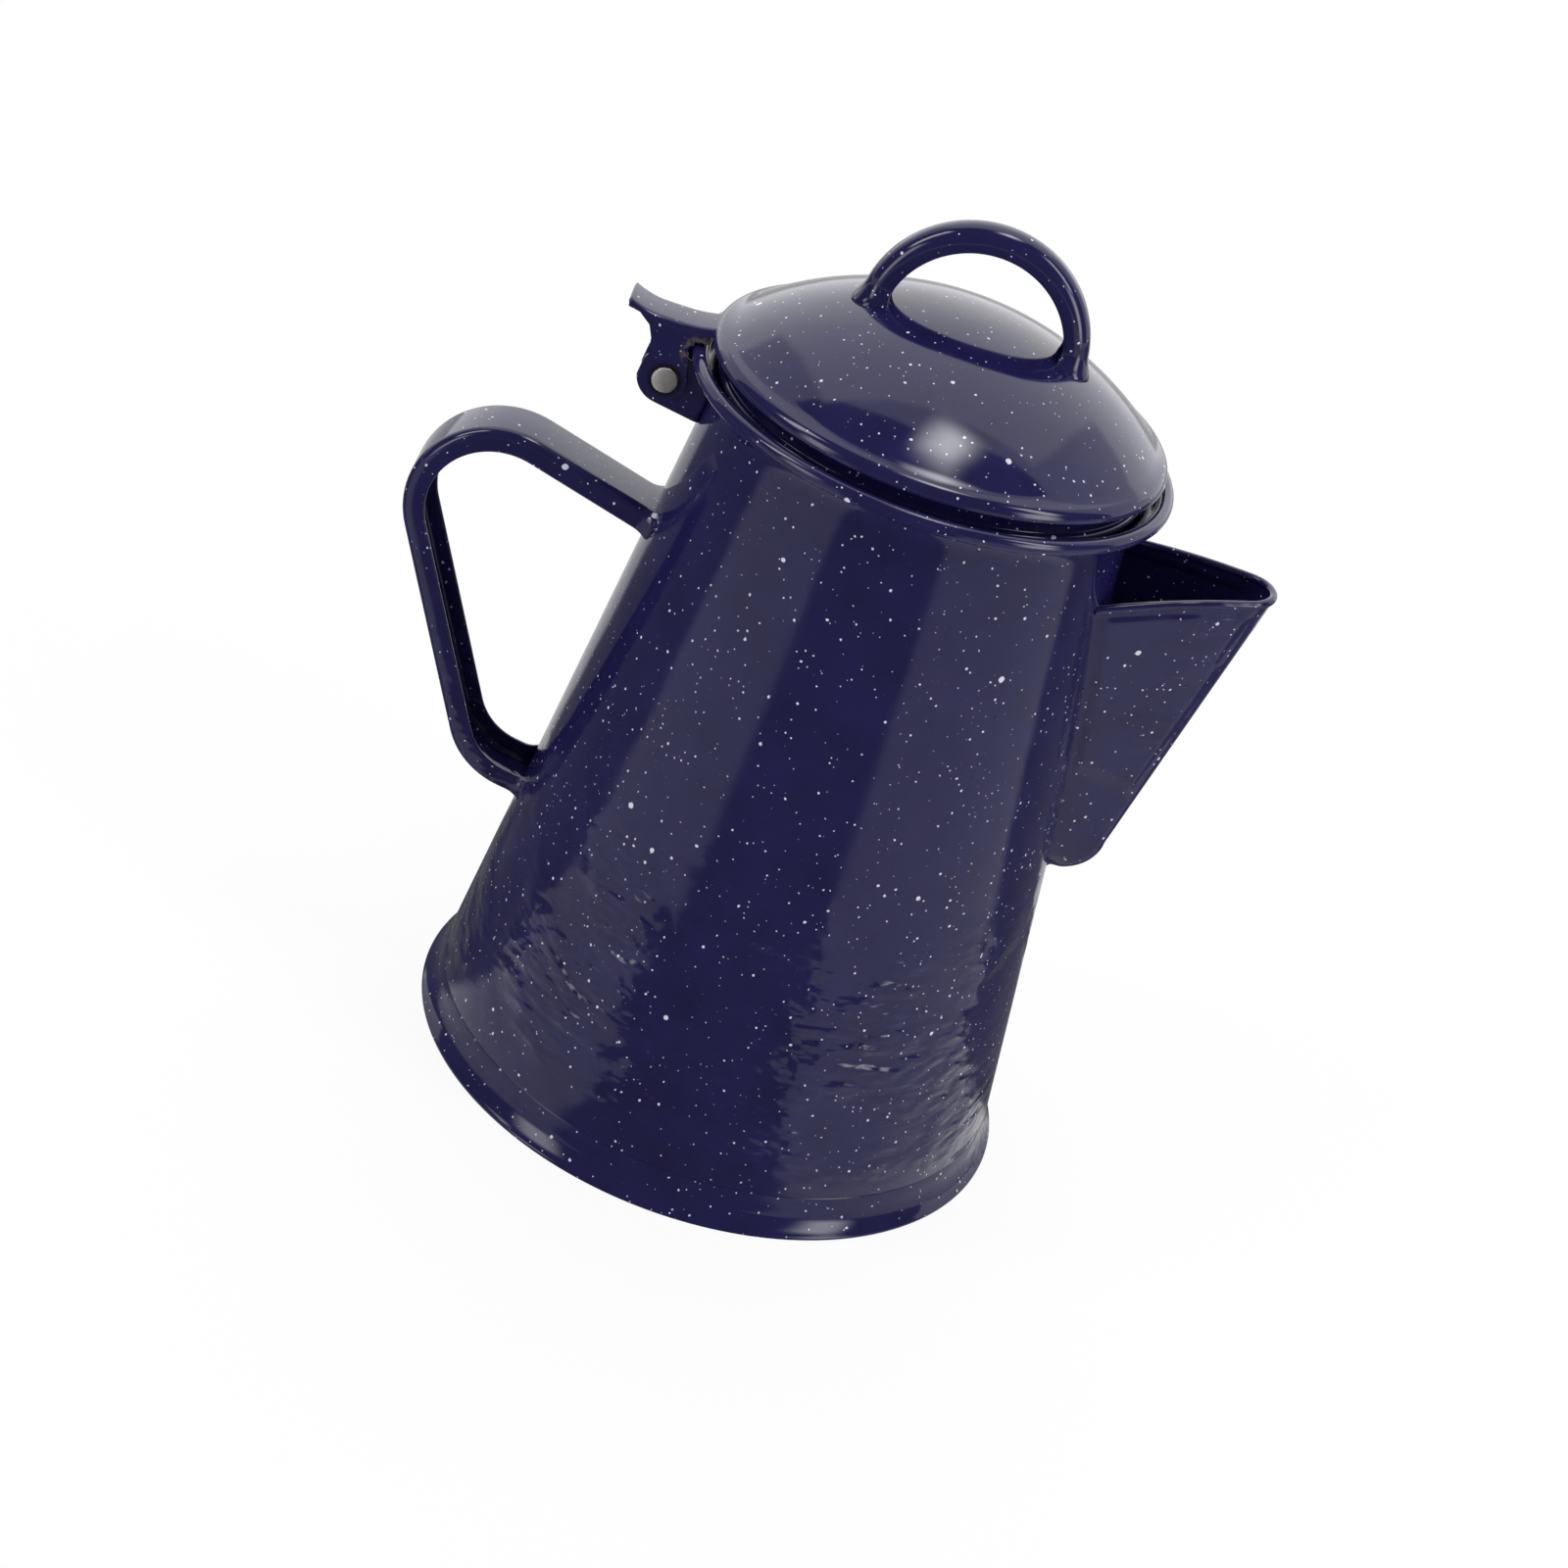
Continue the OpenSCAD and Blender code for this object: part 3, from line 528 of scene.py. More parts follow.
HANDLE_W = 15.5
HANDLE_D = 5.0
HANDLE_SHOULDER = 2.2
HANDLE_REACH = 101.3
HANDLE_TOP_Z = 135.6
HANDLE_TOP_R = 20.0
HANDLE_LOW_R = 18.0
HANDLE_LOW_Z = 52.0
TOP_SLOPE = 15
LOW_SLOPE = 8
LEAN = 26
INTO_WALL = 9.0  # spare length, cut off along the wall
WELD_REACH = 3.2  # how far the enamel at a weld runs up the handle
WELD_SPREAD = 1.3  # and how far it stands out at the wall


def select(kind, test):
    """In edit mode, selects the vertices, edges or faces whose middle, in mm, passes a test."""
    bpy.ops.mesh.select_mode(type=kind)
    bpy.ops.mesh.select_all(action="DESELECT")
    mesh = bmesh.from_edit_mesh(bpy.context.edit_object.data)
    for part in {"VERT": mesh.verts, "EDGE": mesh.edges, "FACE": mesh.faces}[kind]:
        corners = [part.co] if kind == "VERT" else [vertex.co for vertex in part.verts]
        if test(sum(corners, Vector()) / len(corners) / MM):
            part.select_set(True)
    bmesh.update_edit_mesh(bpy.context.edit_object.data)


def start_channel(name, width, depth, shoulder, at, facing):
    """Adds a channel's open section across Y, with its outer face at a point of the XZ plane
    and facing an angle in it, and leaves it selected in edit mode."""
    middle = polar(at, -depth / 2, facing)
    deselect()
    bpy.ops.mesh.primitive_plane_add(
        size=1, location=(middle[0] * MM, 0, middle[1] * MM), rotation=(0, -radians(facing), 0))
    piece = bpy.context.object
    piece.name = piece.data.name = name
    piece.scale = (depth * MM, width * MM, 1)
    bpy.ops.object.transform_apply(location=True, rotation=True, scale=True)
    bpy.ops.object.mode_set(mode="EDIT")
    out = Vector((cos(radians(facing)), 0, sin(radians(facing))))
    centre = Vector((middle[0], 0, middle[1]))
    select("VERT", lambda p: (p - centre) @ out > 0)
    bpy.ops.mesh.bevel(offset=shoulder * MM, segments=8, affect="VERTICES")
    bpy.ops.mesh.select_all(action="SELECT")
    bpy.ops.mesh.delete(type="ONLY_FACE")
    select("EDGE", lambda p: (p - centre) @ out < -0.49 * depth)
    bpy.ops.mesh.delete(type="EDGE")
    bpy.ops.mesh.select_all(action="SELECT")
    return piece


def run(length, heading, parts=1):
    """Extrudes the selected section straight on along a heading in the XZ plane."""
    for _ in range(parts):
        step = polar((0, 0), length / parts * MM, heading)
        bpy.ops.mesh.extrude_region_move(TRANSFORM_OT_translate={"value": (step[0], 0, step[1])})


def bend(centre, turn, step=4):
    """Spins the selected section about a centre in the XZ plane, anticlockwise if turn > 0."""
    bpy.ops.mesh.spin(steps=ceil(abs(turn) / step), angle=radians(turn), axis=(0, 1, 0),
                      center=(centre[0] * MM, 0, centre[1] * MM))


def thicken(piece, outside, edge=0.4):
    """Gives a bent strip its thickness behind the face towards a point, and rounds its edges."""
    bpy.ops.mesh.select_all(action="SELECT")
    bpy.ops.mesh.normals_make_consistent(inside=False)
    bpy.ops.object.mode_set(mode="OBJECT")
    near = min(piece.data.polygons, key=lambda face: (face.center - Vector(outside) * MM).length)
    if near.normal @ (Vector(outside) * MM - near.center) < 0:
        piece.data.flip_normals()
    use_modifier(piece, "SOLIDIFY", thickness=SHEET * MM, offset=-1, use_even_offset=True)
    use_modifier(piece, "BEVEL", width=edge * MM, segments=3, limit_method="ANGLE",
                 angle_limit=radians(60))


def spread_ends(piece, gap, middle, reach, spread):
    """Spreads a piece's ends outwards near what they stand on, as enamel does at a weld."""
    for vertex in piece.data.vertices:
        place = vertex.co / MM
        near = 1 - max(0, gap(place)) / reach
        if near > 0:
            vertex.co += (place - middle(place)).normalized() * spread * near ** 2 * MM


def grip_middle(place):
    """The middle of the handle's section beside a point near one of its ends."""
    at_top = place.z > (HANDLE_TOP_Z + HANDLE_LOW_Z) / 2
    start, heading = (top_start, top_heading) if at_top else (low_start, low_heading)
    face_z = start[1] + (place.x - start[0]) * tan(radians(heading))
    return Vector((place.x, 0, face_z + (-HANDLE_D / 2 if at_top else HANDLE_D / 2)))


low_heading = 180 - LOW_SLOPE
long_heading = 90 + LEAN
top_heading = -TOP_SLOPE
top_c = (HANDLE_TOP_R - HANDLE_REACH, HANDLE_TOP_Z - HANDLE_TOP_R)
long_end = polar(top_c, HANDLE_TOP_R, long_heading + 90)
low_start = (-wall_r(HANDLE_LOW_Z), HANDLE_LOW_Z)
off_run = polar((0, 0), 1, long_heading + 90)
low_dir = polar((0, 0), 1, low_heading)
cross_run = ((long_end[0] - low_start[0]) * off_run[0]
             + (long_end[1] - low_start[1]) * off_run[1]) / (
    low_dir[0] * off_run[0] + low_dir[1] * off_run[1])
corner = polar(low_start, cross_run, low_heading)
bend_reach = HANDLE_LOW_R * tan(radians(low_heading - long_heading) / 2)
low_end = polar(corner, -bend_reach, low_heading)
long_start = polar(corner, bend_reach, long_heading)
low_c = polar(low_end, -HANDLE_LOW_R, low_heading + 90)
top_start = polar(top_c, HANDLE_TOP_R, top_heading + 90)

grip = start_channel("grip_channel", HANDLE_W, HANDLE_D, HANDLE_SHOULDER,
                     polar(low_start, -INTO_WALL, low_heading), low_heading + 90)
run(INTO_WALL + cross_run - bend_reach, low_heading, parts=40)
bend(low_c, long_heading - low_heading)
run(hypot(long_end[0] - long_start[0], long_end[1] - long_start[1]), long_heading, parts=8)
bend(top_c, top_heading - long_heading)
run(-top_start[0] - wall_r(HANDLE_TOP_Z) + INTO_WALL, top_heading, parts=50)
thicken(grip, (2 * top_c[0], 0, HANDLE_TOP_Z))
spread_ends(grip, lambda p: hypot(p.x, p.y) - wall_r(p.z), grip_middle, WELD_REACH, WELD_SPREAD)
trim_to_rings(grip, "wall_trim", wall_trim)
shade(grip)
paint(grip, enamel)
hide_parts("handle")
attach(grip, "pot")

# ---- Hinge bracket ----
# A small U of sheet welded to the wall under the bead. Its two ears carry the rivet that the lid
# turns on.

PIN_X = -55.8
PIN_Z = 156.9
PIN_D = 3.0
STRAP_W = 11.0
STRAP_GAP = 0.2
BRACKET_R = 6.1
BRACKET_LOW_Z = 149.0
PIN_PLAY = 0.1
DRILL_LENGTH = 40
EAR_INTO_WALL = 2  # spare depth of the ears' outline, trimmed off along the wall
WEB_INTO_WALL = 0.3
WEB_BELOW = 4  # spare length of the bent strip under the bracket
WEB_LENGTH = 18
EAR_BLANK = 16  # depth of the strip before the ears are cut out of it
EAR_BEND_R = 1.2
ear_out = STRAP_W / 2 - SHEET - STRAP_GAP


def start_outline(name, points, half_width):
    """Adds a closed outline of (x, z) points as a solid plate across Y, and returns it."""
    deselect()
    bpy.ops.mesh.primitive_plane_add(size=1)
    piece = bpy.context.object
    piece.name = piece.data.name = name
    bpy.ops.object.mode_set(mode="EDIT")
    bpy.ops.mesh.select_mode(type="VERT")
    bpy.ops.mesh.select_all(action="SELECT")
    bpy.ops.mesh.merge(type="CENTER")
    bpy.ops.transform.translate(value=(points[0][0] * MM, -half_width * MM, points[0][1] * MM))
    for (x0, z0), (x1, z1) in zip(points, points[1:]):
        bpy.ops.mesh.extrude_vertices_move(
            TRANSFORM_OT_translate={"value": ((x1 - x0) * MM, 0, (z1 - z0) * MM)})
    bpy.ops.mesh.select_all(action="SELECT")
    bpy.ops.mesh.edge_face_add()
    bpy.ops.mesh.select_mode(type="FACE")
    bpy.ops.mesh.extrude_region_move(TRANSFORM_OT_translate={"value": (0, 2 * half_width * MM, 0)})
    bpy.ops.mesh.select_all(action="SELECT")
    bpy.ops.mesh.normals_make_consistent(inside=False)
    bpy.ops.object.mode_set(mode="OBJECT")
    return piece


def drill(piece, diameter):
    """Bores the rivet's hole through a piece."""
    deselect()
    bpy.ops.mesh.primitive_cylinder_add(
        vertices=48, radius=diameter / 2 * MM, depth=DRILL_LENGTH * MM,
        location=(PIN_X * MM, 0, PIN_Z * MM), rotation=(radians(90), 0, 0))
    cut(piece, bpy.context.object)


def tangent_turn(point, centre, radius, side):
    """Angle round a circle at which a line from a point touches it."""
    reach = hypot(point[0] - centre[0], point[1] - centre[1])
    return degrees(atan2(point[1] - centre[1], point[0] - centre[0])) + side * degrees(
        pi / 2 - asin(radius / reach))


pin_at = (PIN_X, PIN_Z)
ear_low = (-wall_r(BRACKET_LOW_Z) + EAR_INTO_WALL, BRACKET_LOW_Z)
ear_top = (-THROAT_R + EAR_INTO_WALL, THROAT_Z + EAR_INTO_WALL)
ear_outline = [ear_low, ear_top] + arc(
    pin_at, BRACKET_R, tangent_turn(ear_top, pin_at, BRACKET_R, 1),
    360 + tangent_turn(ear_low, pin_at, BRACKET_R, -1))
wall_heading = 90 - WALL_SLOPE
web_at = polar(polar((-wall_r(BRACKET_LOW_Z), BRACKET_LOW_Z), -WEB_BELOW, wall_heading),
               WEB_INTO_WALL, -WALL_SLOPE)

bracket = start_channel("hinge_ears", 2 * ear_out, EAR_BLANK, EAR_BEND_R, web_at, -WALL_SLOPE)
run(WEB_LENGTH, wall_heading, parts=3)
thicken(bracket, (PIN_X, -20, BRACKET_LOW_Z + 4), edge=0.25)
cut(bracket, start_outline("ear_blank", ear_outline, EAR_BLANK / 2), "INTERSECT")
drill(bracket, PIN_D + PIN_PLAY)
trim_to_rings(bracket, "flare_trim", wall_trim[:2] + [
    (r - WELD_IN, z) for r, z in mouth_back[1:]] + [(1, mouth_back[-1][1])])
soften(bracket, width=0.2, angle=50)
paint(bracket, enamel)
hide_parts("hinge_bracket")
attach(bracket, "pot")

# ---- Rivet ----
# One bare steel rivet holds the lid. Its shank is 3 mm thick, and both ends are hammered to low
# domed heads, with no enamel on them.

HEAD_D = 5.6
HEAD_H = 0.95
HEAD_GAP = 0.1
HEAD_EDGE_H = 0.55  # upright edge of the head below its dome
HEAD_FLAT = 86  # degrees up the dome at which its flat middle starts

deselect()
bpy.ops.mesh.primitive_cylinder_add(
    vertices=64, radius=PIN_D / 2 * MM, depth=(STRAP_W + 2 * HEAD_GAP) * MM,
    location=(PIN_X * MM, 0, PIN_Z * MM), rotation=(radians(90), 0, 0))
rivet = bpy.context.object
rivet.name = rivet.data.name = "rivet"
bpy.ops.object.transform_apply(location=True, rotation=True, scale=True)
bpy.ops.object.mode_set(mode="EDIT")
dome_rise = HEAD_H - HEAD_EDGE_H
dome_curve = (dome_rise ** 2 + HEAD_D ** 2 / 4) / (2 * dome_rise)
dome_half = degrees(asin(HEAD_D / 2 / dome_curve))
dome_rings = arc((0, HEAD_H - dome_curve), dome_curve, 90 - dome_half, HEAD_FLAT, 5)
for side in (-1, 1):
    select("FACE", lambda p: side * p.y > STRAP_W / 2)
    head_rings = [(PIN_D / 2, 0), (HEAD_D / 2, 0)] + dome_rings
    for (r0, h0), (r1, h1) in zip(head_rings, head_rings[1:]):
        bpy.ops.mesh.extrude_region_move(
            TRANSFORM_OT_translate={"value": (0, side * (h1 - h0) * MM, 0)})
        bpy.ops.transform.resize(
            value=(r1 / r0, 1, r1 / r0), center_override=(PIN_X * MM, 0, PIN_Z * MM))
close_mesh()
soften(rivet, width=0.25, angle=30)

# Mild steel, hammered and left bare: satin and slightly grey, with fine dents from the hammer.
STEEL_PALE = "#DAD8D6"
STEEL_GREY = "#B4B0AE"
DENT_MM = 1.2
DENT_DEPTH = 0.05
steel, shader = new_material("hammered_mild_steel")
shader.inputs["Metallic"].default_value = 1.0
shader.inputs["Roughness"].default_value = 0.5
place = add_node(steel, "TexCoord").outputs["Object"]
tone = add_node(steel, "TexNoise", inputs={
    "Vector": place, "Scale": 1 / (DENT_MM * MM), "Detail": 3.0})
grey = add_node(steel, "Mix", {"data_type": "RGBA"}, {
    "Factor": tone.outputs["Fac"], 6: linear(STEEL_GREY), 7: linear(STEEL_PALE)})
link(steel, grey.outputs[2], shader, "Base Color")
dents = add_node(steel, "Bump", inputs={
    "Height": tone.outputs["Fac"], "Distance": DENT_DEPTH * MM, "Strength": 0.6})
link(steel, dents.outputs["Normal"], shader, "Normal")
paint(rivet, steel)
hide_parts("hinge_pin")
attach(rivet, "pot")

# ---- Lid dome ----
# The lid is a domed pressing. Outside the dome it dips into a shallow valley and is rolled down
# to a hem that overhangs the pot's bead.

CROWN_Z = 189.5
DOME_CURVE_R = 71.7
DOME_EDGE_R = 45.2
VALLEY_R = 12.0
VALLEY_SLOPE = 25
HEM_R = 2.8
HEM_EDGE = 0.3
CROWN_TURN = 88.5  # the small flat disc that closes the crown starts here

dome_slope = degrees(asin(DOME_EDGE_R / DOME_CURVE_R))
dome_c = (0, CROWN_Z - DOME_CURVE_R)
valley_c = polar(dome_c, DOME_CURVE_R + VALLEY_R, 90 - dome_slope)
hem_c = polar(valley_c, VALLEY_R + HEM_R, 270 - VALLEY_SLOPE)
hem_out_r = hem_c[0] + HEM_R
hem_low_z = hem_c[1] - HEM_EDGE


def dome_line(inset):
    """The lid's outline from the crown out to the edge of the hem, moved in by an inset."""
    return (arc(dome_c, DOME_CURVE_R - inset, CROWN_TURN, 90 - dome_slope, 2)
            + arc(valley_c, VALLEY_R + inset, 270 - dome_slope, 270 - VALLEY_SLOPE, 2)[1:]
            + arc(hem_c, HEM_R - inset, 90 - VALLEY_SLOPE, 0, 8)[1:]
            + [(hem_out_r - inset, hem_low_z)])


dome_outside = dome_line(0)
lid = start_ring("lid_shell", dome_outside[0][0], dome_outside[0][1], "TRIFAN")
pull_ring(dome_outside + dome_line(SHEET)[::-1])
bpy.ops.mesh.merge(type="CENTER")
close_mesh()
soften(lid, width=0.35, angle=50)
paint(lid, enamel)
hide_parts("lid_dome")
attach(lid, "lid")

# ---- Lid skirt ----
# A collar spun from sheet is fixed inside the lid. The bead round it rests in the pot's mouth
# and centres the lid.

SKIRT_R = 43.8
SKIRT_Z = 154.0
SEAT_BEAD_R = 1.2
SEAT_GAP = 0.3
SEAT_TURN = 140
SEAT_START = -65  # the seat's bead bulges out of the collar from this angle up
FLANGE_GAP = 0.05
FLANGE_RISE = 0.4  # the flange lies this far above the hem's edge

seat_c = polar(mouth_c, MOUTH_CURVE_R + SHEET + SEAT_GAP + SEAT_BEAD_R, SEAT_TURN)
flange_r = hem_out_r - SHEET - FLANGE_GAP
flange_z = hem_low_z + FLANGE_RISE
neck_r = seat_c[0]
skirt_inside = [(neck_r - SHEET, flange_z), (neck_r - SHEET, seat_c[1]),
                (SKIRT_R - SHEET, seat_c[1] - 2 * SEAT_BEAD_R), (SKIRT_R - SHEET, SKIRT_Z)]
skirt_outside = [(SKIRT_R, SKIRT_Z), (SKIRT_R, seat_c[1] - SEAT_BEAD_R)] + arc(
    seat_c, SEAT_BEAD_R, SEAT_START, 90, 15) + [
    (neck_r, flange_z - SHEET), (flange_r, flange_z - SHEET), (flange_r, flange_z)]
skirt = start_ring("lid_collar", skirt_outside[0][0], skirt_outside[0][1])
pull_ring(skirt_outside + skirt_inside + skirt_outside[:1])
close_mesh()
soften(skirt, width=0.3, angle=25)
paint(skirt, enamel)
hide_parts("lid_skirt")
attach(skirt, "lid")

# ---- Lid handle ----
# The loop on the lid is a narrow channel bent to a half ring, with its open side inwards. Its
# feet are welded to the dome, and the enamel fills the corner round them.

LOOP_TOP_Z = 209.5
LOOP_R = 24.4
LOOP_X = 1.0
LOOP_W = 8.4
LOOP_D = 5.4
LOOP_SHOULDER = 3.7
LOOP_TUCK = 10  # degrees that each end runs on into the dome
LOOP_WELD_REACH = 4.0
LOOP_WELD_SPREAD = 1.5

loop_c = (LOOP_X, LOOP_TOP_Z - LOOP_R)
loop = start_channel("lid_loop", LOOP_W, LOOP_D, LOOP_SHOULDER,
                     polar(loop_c, LOOP_R, -LOOP_TUCK), -LOOP_TUCK)
bend(loop_c, 180 + 2 * LOOP_TUCK, step=1.5)
thicken(loop, (LOOP_X, 0, LOOP_TOP_Z + 20))


def loop_middle(place):
    """The middle of the loop's section beside a point."""
    x, z = polar(loop_c, LOOP_R - LOOP_D / 2,
                 degrees(atan2(place.z - loop_c[1], place.x - loop_c[0])))
    return Vector((x, 0, z))


spread_ends(loop, lambda p: hypot(p.x, p.y, p.z - dome_c[1]) - DOME_CURVE_R, loop_middle,
            LOOP_WELD_REACH, LOOP_WELD_SPREAD)
under_dome = [(r - WELD_IN, z - WELD_IN) for r, z in dome_outside]
trim_to_rings(loop, "dome_trim", under_dome[::-1])
shade(loop)
paint(loop, enamel)
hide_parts("lid_handle")
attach(loop, "lid")

# ---- Hinge strap ----
# A folded strap is welded over the lid's hem. Its two cheeks reach down past the bead to the
# rivet, and its rear end rises to a lift for the thumb. Bare steel shows where the enamel
# has chipped at the cheeks.

STRAP_Z = 169.8
STRAP_SHOULDER = 1.5
NOTCH_GAP = 0.7
CHEEK_R = 4.5
THUMB_REACH = 11.6
THUMB_RISE = 1.7
THUMB_START = 4.4
TONGUE = 7.0  # length of the strap that lies on the lid
TONGUE_RISE = 3.4
TONGUE_EDGE = 1.6  # depth of the folded edge along the tongue
THUMB_EDGE = 1.4  # and at the thumb lift
STRAP_STEPS = 24
STRAP_BLANK = 20  # depth of the strip before the cheeks are cut out of it
CHEEK_GAP = 0.05
CHEEK_BACK = [(-5.3, -5.0), (-6.4, -2.4)]  # its rear edge, off the rivet and the strap's top

thumb_tip_x = PIN_X - THUMB_REACH
tongue_x = TONGUE - hem_out_r


def strap_top(x):
    """Height of the strap's top: level over the rivet, rising to the thumb lift and to the dome."""
    lift = max(0, (PIN_X - THUMB_START - x) / (THUMB_REACH - THUMB_START))
    join = max(0, (x - PIN_X) / (tongue_x - PIN_X))
    return STRAP_Z + THUMB_RISE * lift ** 2 + TONGUE_RISE * join ** 2


strap_xs = [thumb_tip_x + (tongue_x - thumb_tip_x) * i / STRAP_STEPS
            for i in range(STRAP_STEPS + 1)]
strap = start_channel("lid_strap", STRAP_W, STRAP_BLANK, STRAP_SHOULDER,
                      (strap_xs[0], strap_top(strap_xs[0])), 90)
for x0, x1 in zip(strap_xs, strap_xs[1:]):
    bpy.ops.mesh.extrude_region_move(
        TRANSFORM_OT_translate={"value": ((x1 - x0) * MM, 0, (strap_top(x1) - strap_top(x0)) * MM)})
thicken(strap, (PIN_X, 0, STRAP_Z + 20), edge=0.25)
notch_c = (-bead_c[0], bead_c[1])
notch_r = BEAD_R + NOTCH_GAP
cheek_front = -hem_out_r - CHEEK_GAP
tip_under = [(x, strap_top(x) - TONGUE_EDGE) for x in (tongue_x + 1, -hem_out_r + 3)]
strap_blank = [(thumb_tip_x - 1, STRAP_Z + 6), (tongue_x + 1, STRAP_Z + 8)] + tip_under + [
    (cheek_front, hem_low_z), (cheek_front, notch_c[1] + notch_r)] + arc(
    notch_c, notch_r, 80, 215, 12) + arc(pin_at, CHEEK_R, 385, 170, 8) + [
    (PIN_X + x, STRAP_Z + z) for x, z in CHEEK_BACK] + [
    (thumb_tip_x + 2.6, STRAP_Z - 0.4), (thumb_tip_x - 1, strap_top(thumb_tip_x) - THUMB_EDGE)]
cut(strap, start_outline("strap_blank", strap_blank, STRAP_BLANK / 2), "INTERSECT")
drill(strap, PIN_D + PIN_PLAY)
trim_to_rings(strap, "dome_trim", under_dome[::-1])
soften(strap, width=0.22, angle=50)

# The enamel has chipped off the cheeks round the notch, down to brown rusted steel, and the strap
# is coloured near black in a ring round the rivet's head.
RUST_BROWN = "#66574A"
CHIP_REACH = 1.1
RING_REACH = 0.9
FLAKE_MM = 1.6
chipped = enamel.copy()
chipped.name = "vitreous_enamel_chipped"
shader = chipped.node_tree.nodes["Principled BSDF"]
place = add_node(chipped, "TexCoord").outputs["Object"]


def near_axis(at, radius, softness):
    """A mask that is 1 within a radius of a line along Y through a point of the XZ plane, in mm."""
    side = add_node(chipped, "Mapping", inputs={
        "Vector": place, "Location": (-at[0] * MM, 0, -at[1] * MM), "Scale": (1, 0, 1)})
    reach = add_node(chipped, "VectorMath", {"operation": "LENGTH"}, {0: side.outputs["Vector"]})
    return add_node(chipped, "MapRange", inputs={
        "Value": reach.outputs["Value"], "From Min": (radius + softness) * MM,
        "From Max": (radius - softness) * MM}).outputs["Result"]


flakes = add_node(chipped, "TexNoise", inputs={"Vector": place, "Scale": 1 / (FLAKE_MM * MM)})
flaked = add_node(chipped, "MapRange", inputs={
    "Value": flakes.outputs["Fac"], "From Min": 0.42, "From Max": 0.6})
bare = add_node(chipped, "Math", {"operation": "MULTIPLY"}, {
    0: near_axis(notch_c, notch_r + CHIP_REACH, softness=0.8), 1: flaked.outputs["Result"]})
# Near-black colour in a ring just outside the rivet's head.
ringed = add_node(chipped, "Mix", {"data_type": "RGBA"}, {
    "Factor": near_axis(pin_at, HEAD_D / 2 + RING_REACH, softness=0.5),
    6: chipped.node_tree.nodes[coat.name].outputs[2], 7: linear(SPECK_DARK)})
worn = add_node(chipped, "Mix", {"data_type": "RGBA"}, {
    "Factor": bare.outputs["Value"], 6: ringed.outputs[2], 7: linear(RUST_BROWN)})
link(chipped, worn.outputs[2], shader, "Base Color")
dull = add_node(chipped, "MapRange", inputs={
    "Value": bare.outputs["Value"], "To Min": 0.07, "To Max": 0.65})
link(chipped, dull.outputs["Result"], shader, "Roughness")
paint(strap, chipped)
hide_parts("lid_hinge_strap")
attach(strap, "lid")

# ---- Floor ----
# A sheet of white paper under the pot. The camera and the reflections see nine tenths of it as
# plain white, and the rest keeps a faint shadow.

PAPER = "#F4F4F4"
FLOOR_SIZE = 8  # metres
SEEN_WHITE = 0.9  # share of the paper's look that is plain white, for the camera

deselect()
bpy.ops.mesh.primitive_plane_add(size=FLOOR_SIZE)
floor = bpy.context.object
floor.name = floor.data.name = "floor"
paper, shader = new_material("white_paper")
shader.inputs["Base Color"].default_value = linear(PAPER)
shader.inputs["Roughness"].default_value = 0.9
shader.inputs["Specular IOR Level"].default_value = 0.0


def seen_directly(material):
    """1 for what is seen straight on, by reflection or through glass, and 0 for other light."""
    rays = add_node(material, "LightPath")
    mirrored = add_node(material, "Math", {"operation": "MAXIMUM"}, {
        0: rays.outputs["Is Glossy Ray"], 1: rays.outputs["Is Transmission Ray"]})
    return add_node(material, "Math", {"operation": "MAXIMUM"}, {
        0: rays.outputs["Is Camera Ray"], 1: mirrored.outputs["Value"]}).outputs["Value"]


def finish_surface(material, socket):
    """Links a shader's output to the material's or the world's surface."""
    end = next(node for node in material.node_tree.nodes if node.type.startswith("OUTPUT"))
    material.node_tree.links.new(socket, end.inputs["Surface"])


share = add_node(paper, "Math", {"operation": "MULTIPLY"}, {0: seen_directly(paper), 1: SEEN_WHITE})
glow = add_node(paper, "Emission")
both = add_node(paper, "MixShader", inputs={
    0: share.outputs["Value"], 1: shader.outputs["BSDF"], 2: glow.outputs["Emission"]})
finish_surface(paper, both.outputs["Shader"])
floor.data.materials.append(paper)

# ---- Studio ----
# Softboxes hang behind the pot, above it and at both sides, and their light adds up to a plain
# level. Dark velvet hangs round the front and lies in wedges on the floor, with a thin net over
# the rest of the paper. Reflections see the velvet and the net, and the camera sees none of it.

CAMERA_TURN = -94  # degrees from +X round to the camera, seen from above
VELVET = 0.13  # what a reflection sees of the velvet, where 1 is white
VELVET_SIZE = 4  # metres
WEDGE_EDGE = 3  # degrees over which a wedge's sides fade, each way
LAYER = 0.3  # mm between the wedges, which must not lie in one plane
TENT_R = 3.4  # metres
TENT_HALF_ANGLE = 105  # degrees that the tent reaches to each side of the camera


def hang(name, piece, strength, mask, lights=True):
    """Makes a stage object glow at a strength, all over or where its mask is 1, and hides it
    from the camera. It is clear where the mask is 0."""
    piece.name = piece.data.name = name
    material, _ = new_material(name)
    light = add_node(material, "Emission", inputs={"Strength": strength})
    clear = add_node(material, "BsdfTransparent")
    mixed = add_node(material, "MixShader", inputs={
        1: clear.outputs["BSDF"], 2: light.outputs["Emission"]})
    finish_surface(material, mixed.outputs["Shader"])
    if mask:
        material.node_tree.links.new(mask(material), mixed.inputs[0])
    else:
        mixed.inputs[0].default_value = 1.0
    piece.data.materials.append(material)
    piece.visible_camera = False
    piece.visible_shadow = False
    piece.visible_diffuse = lights


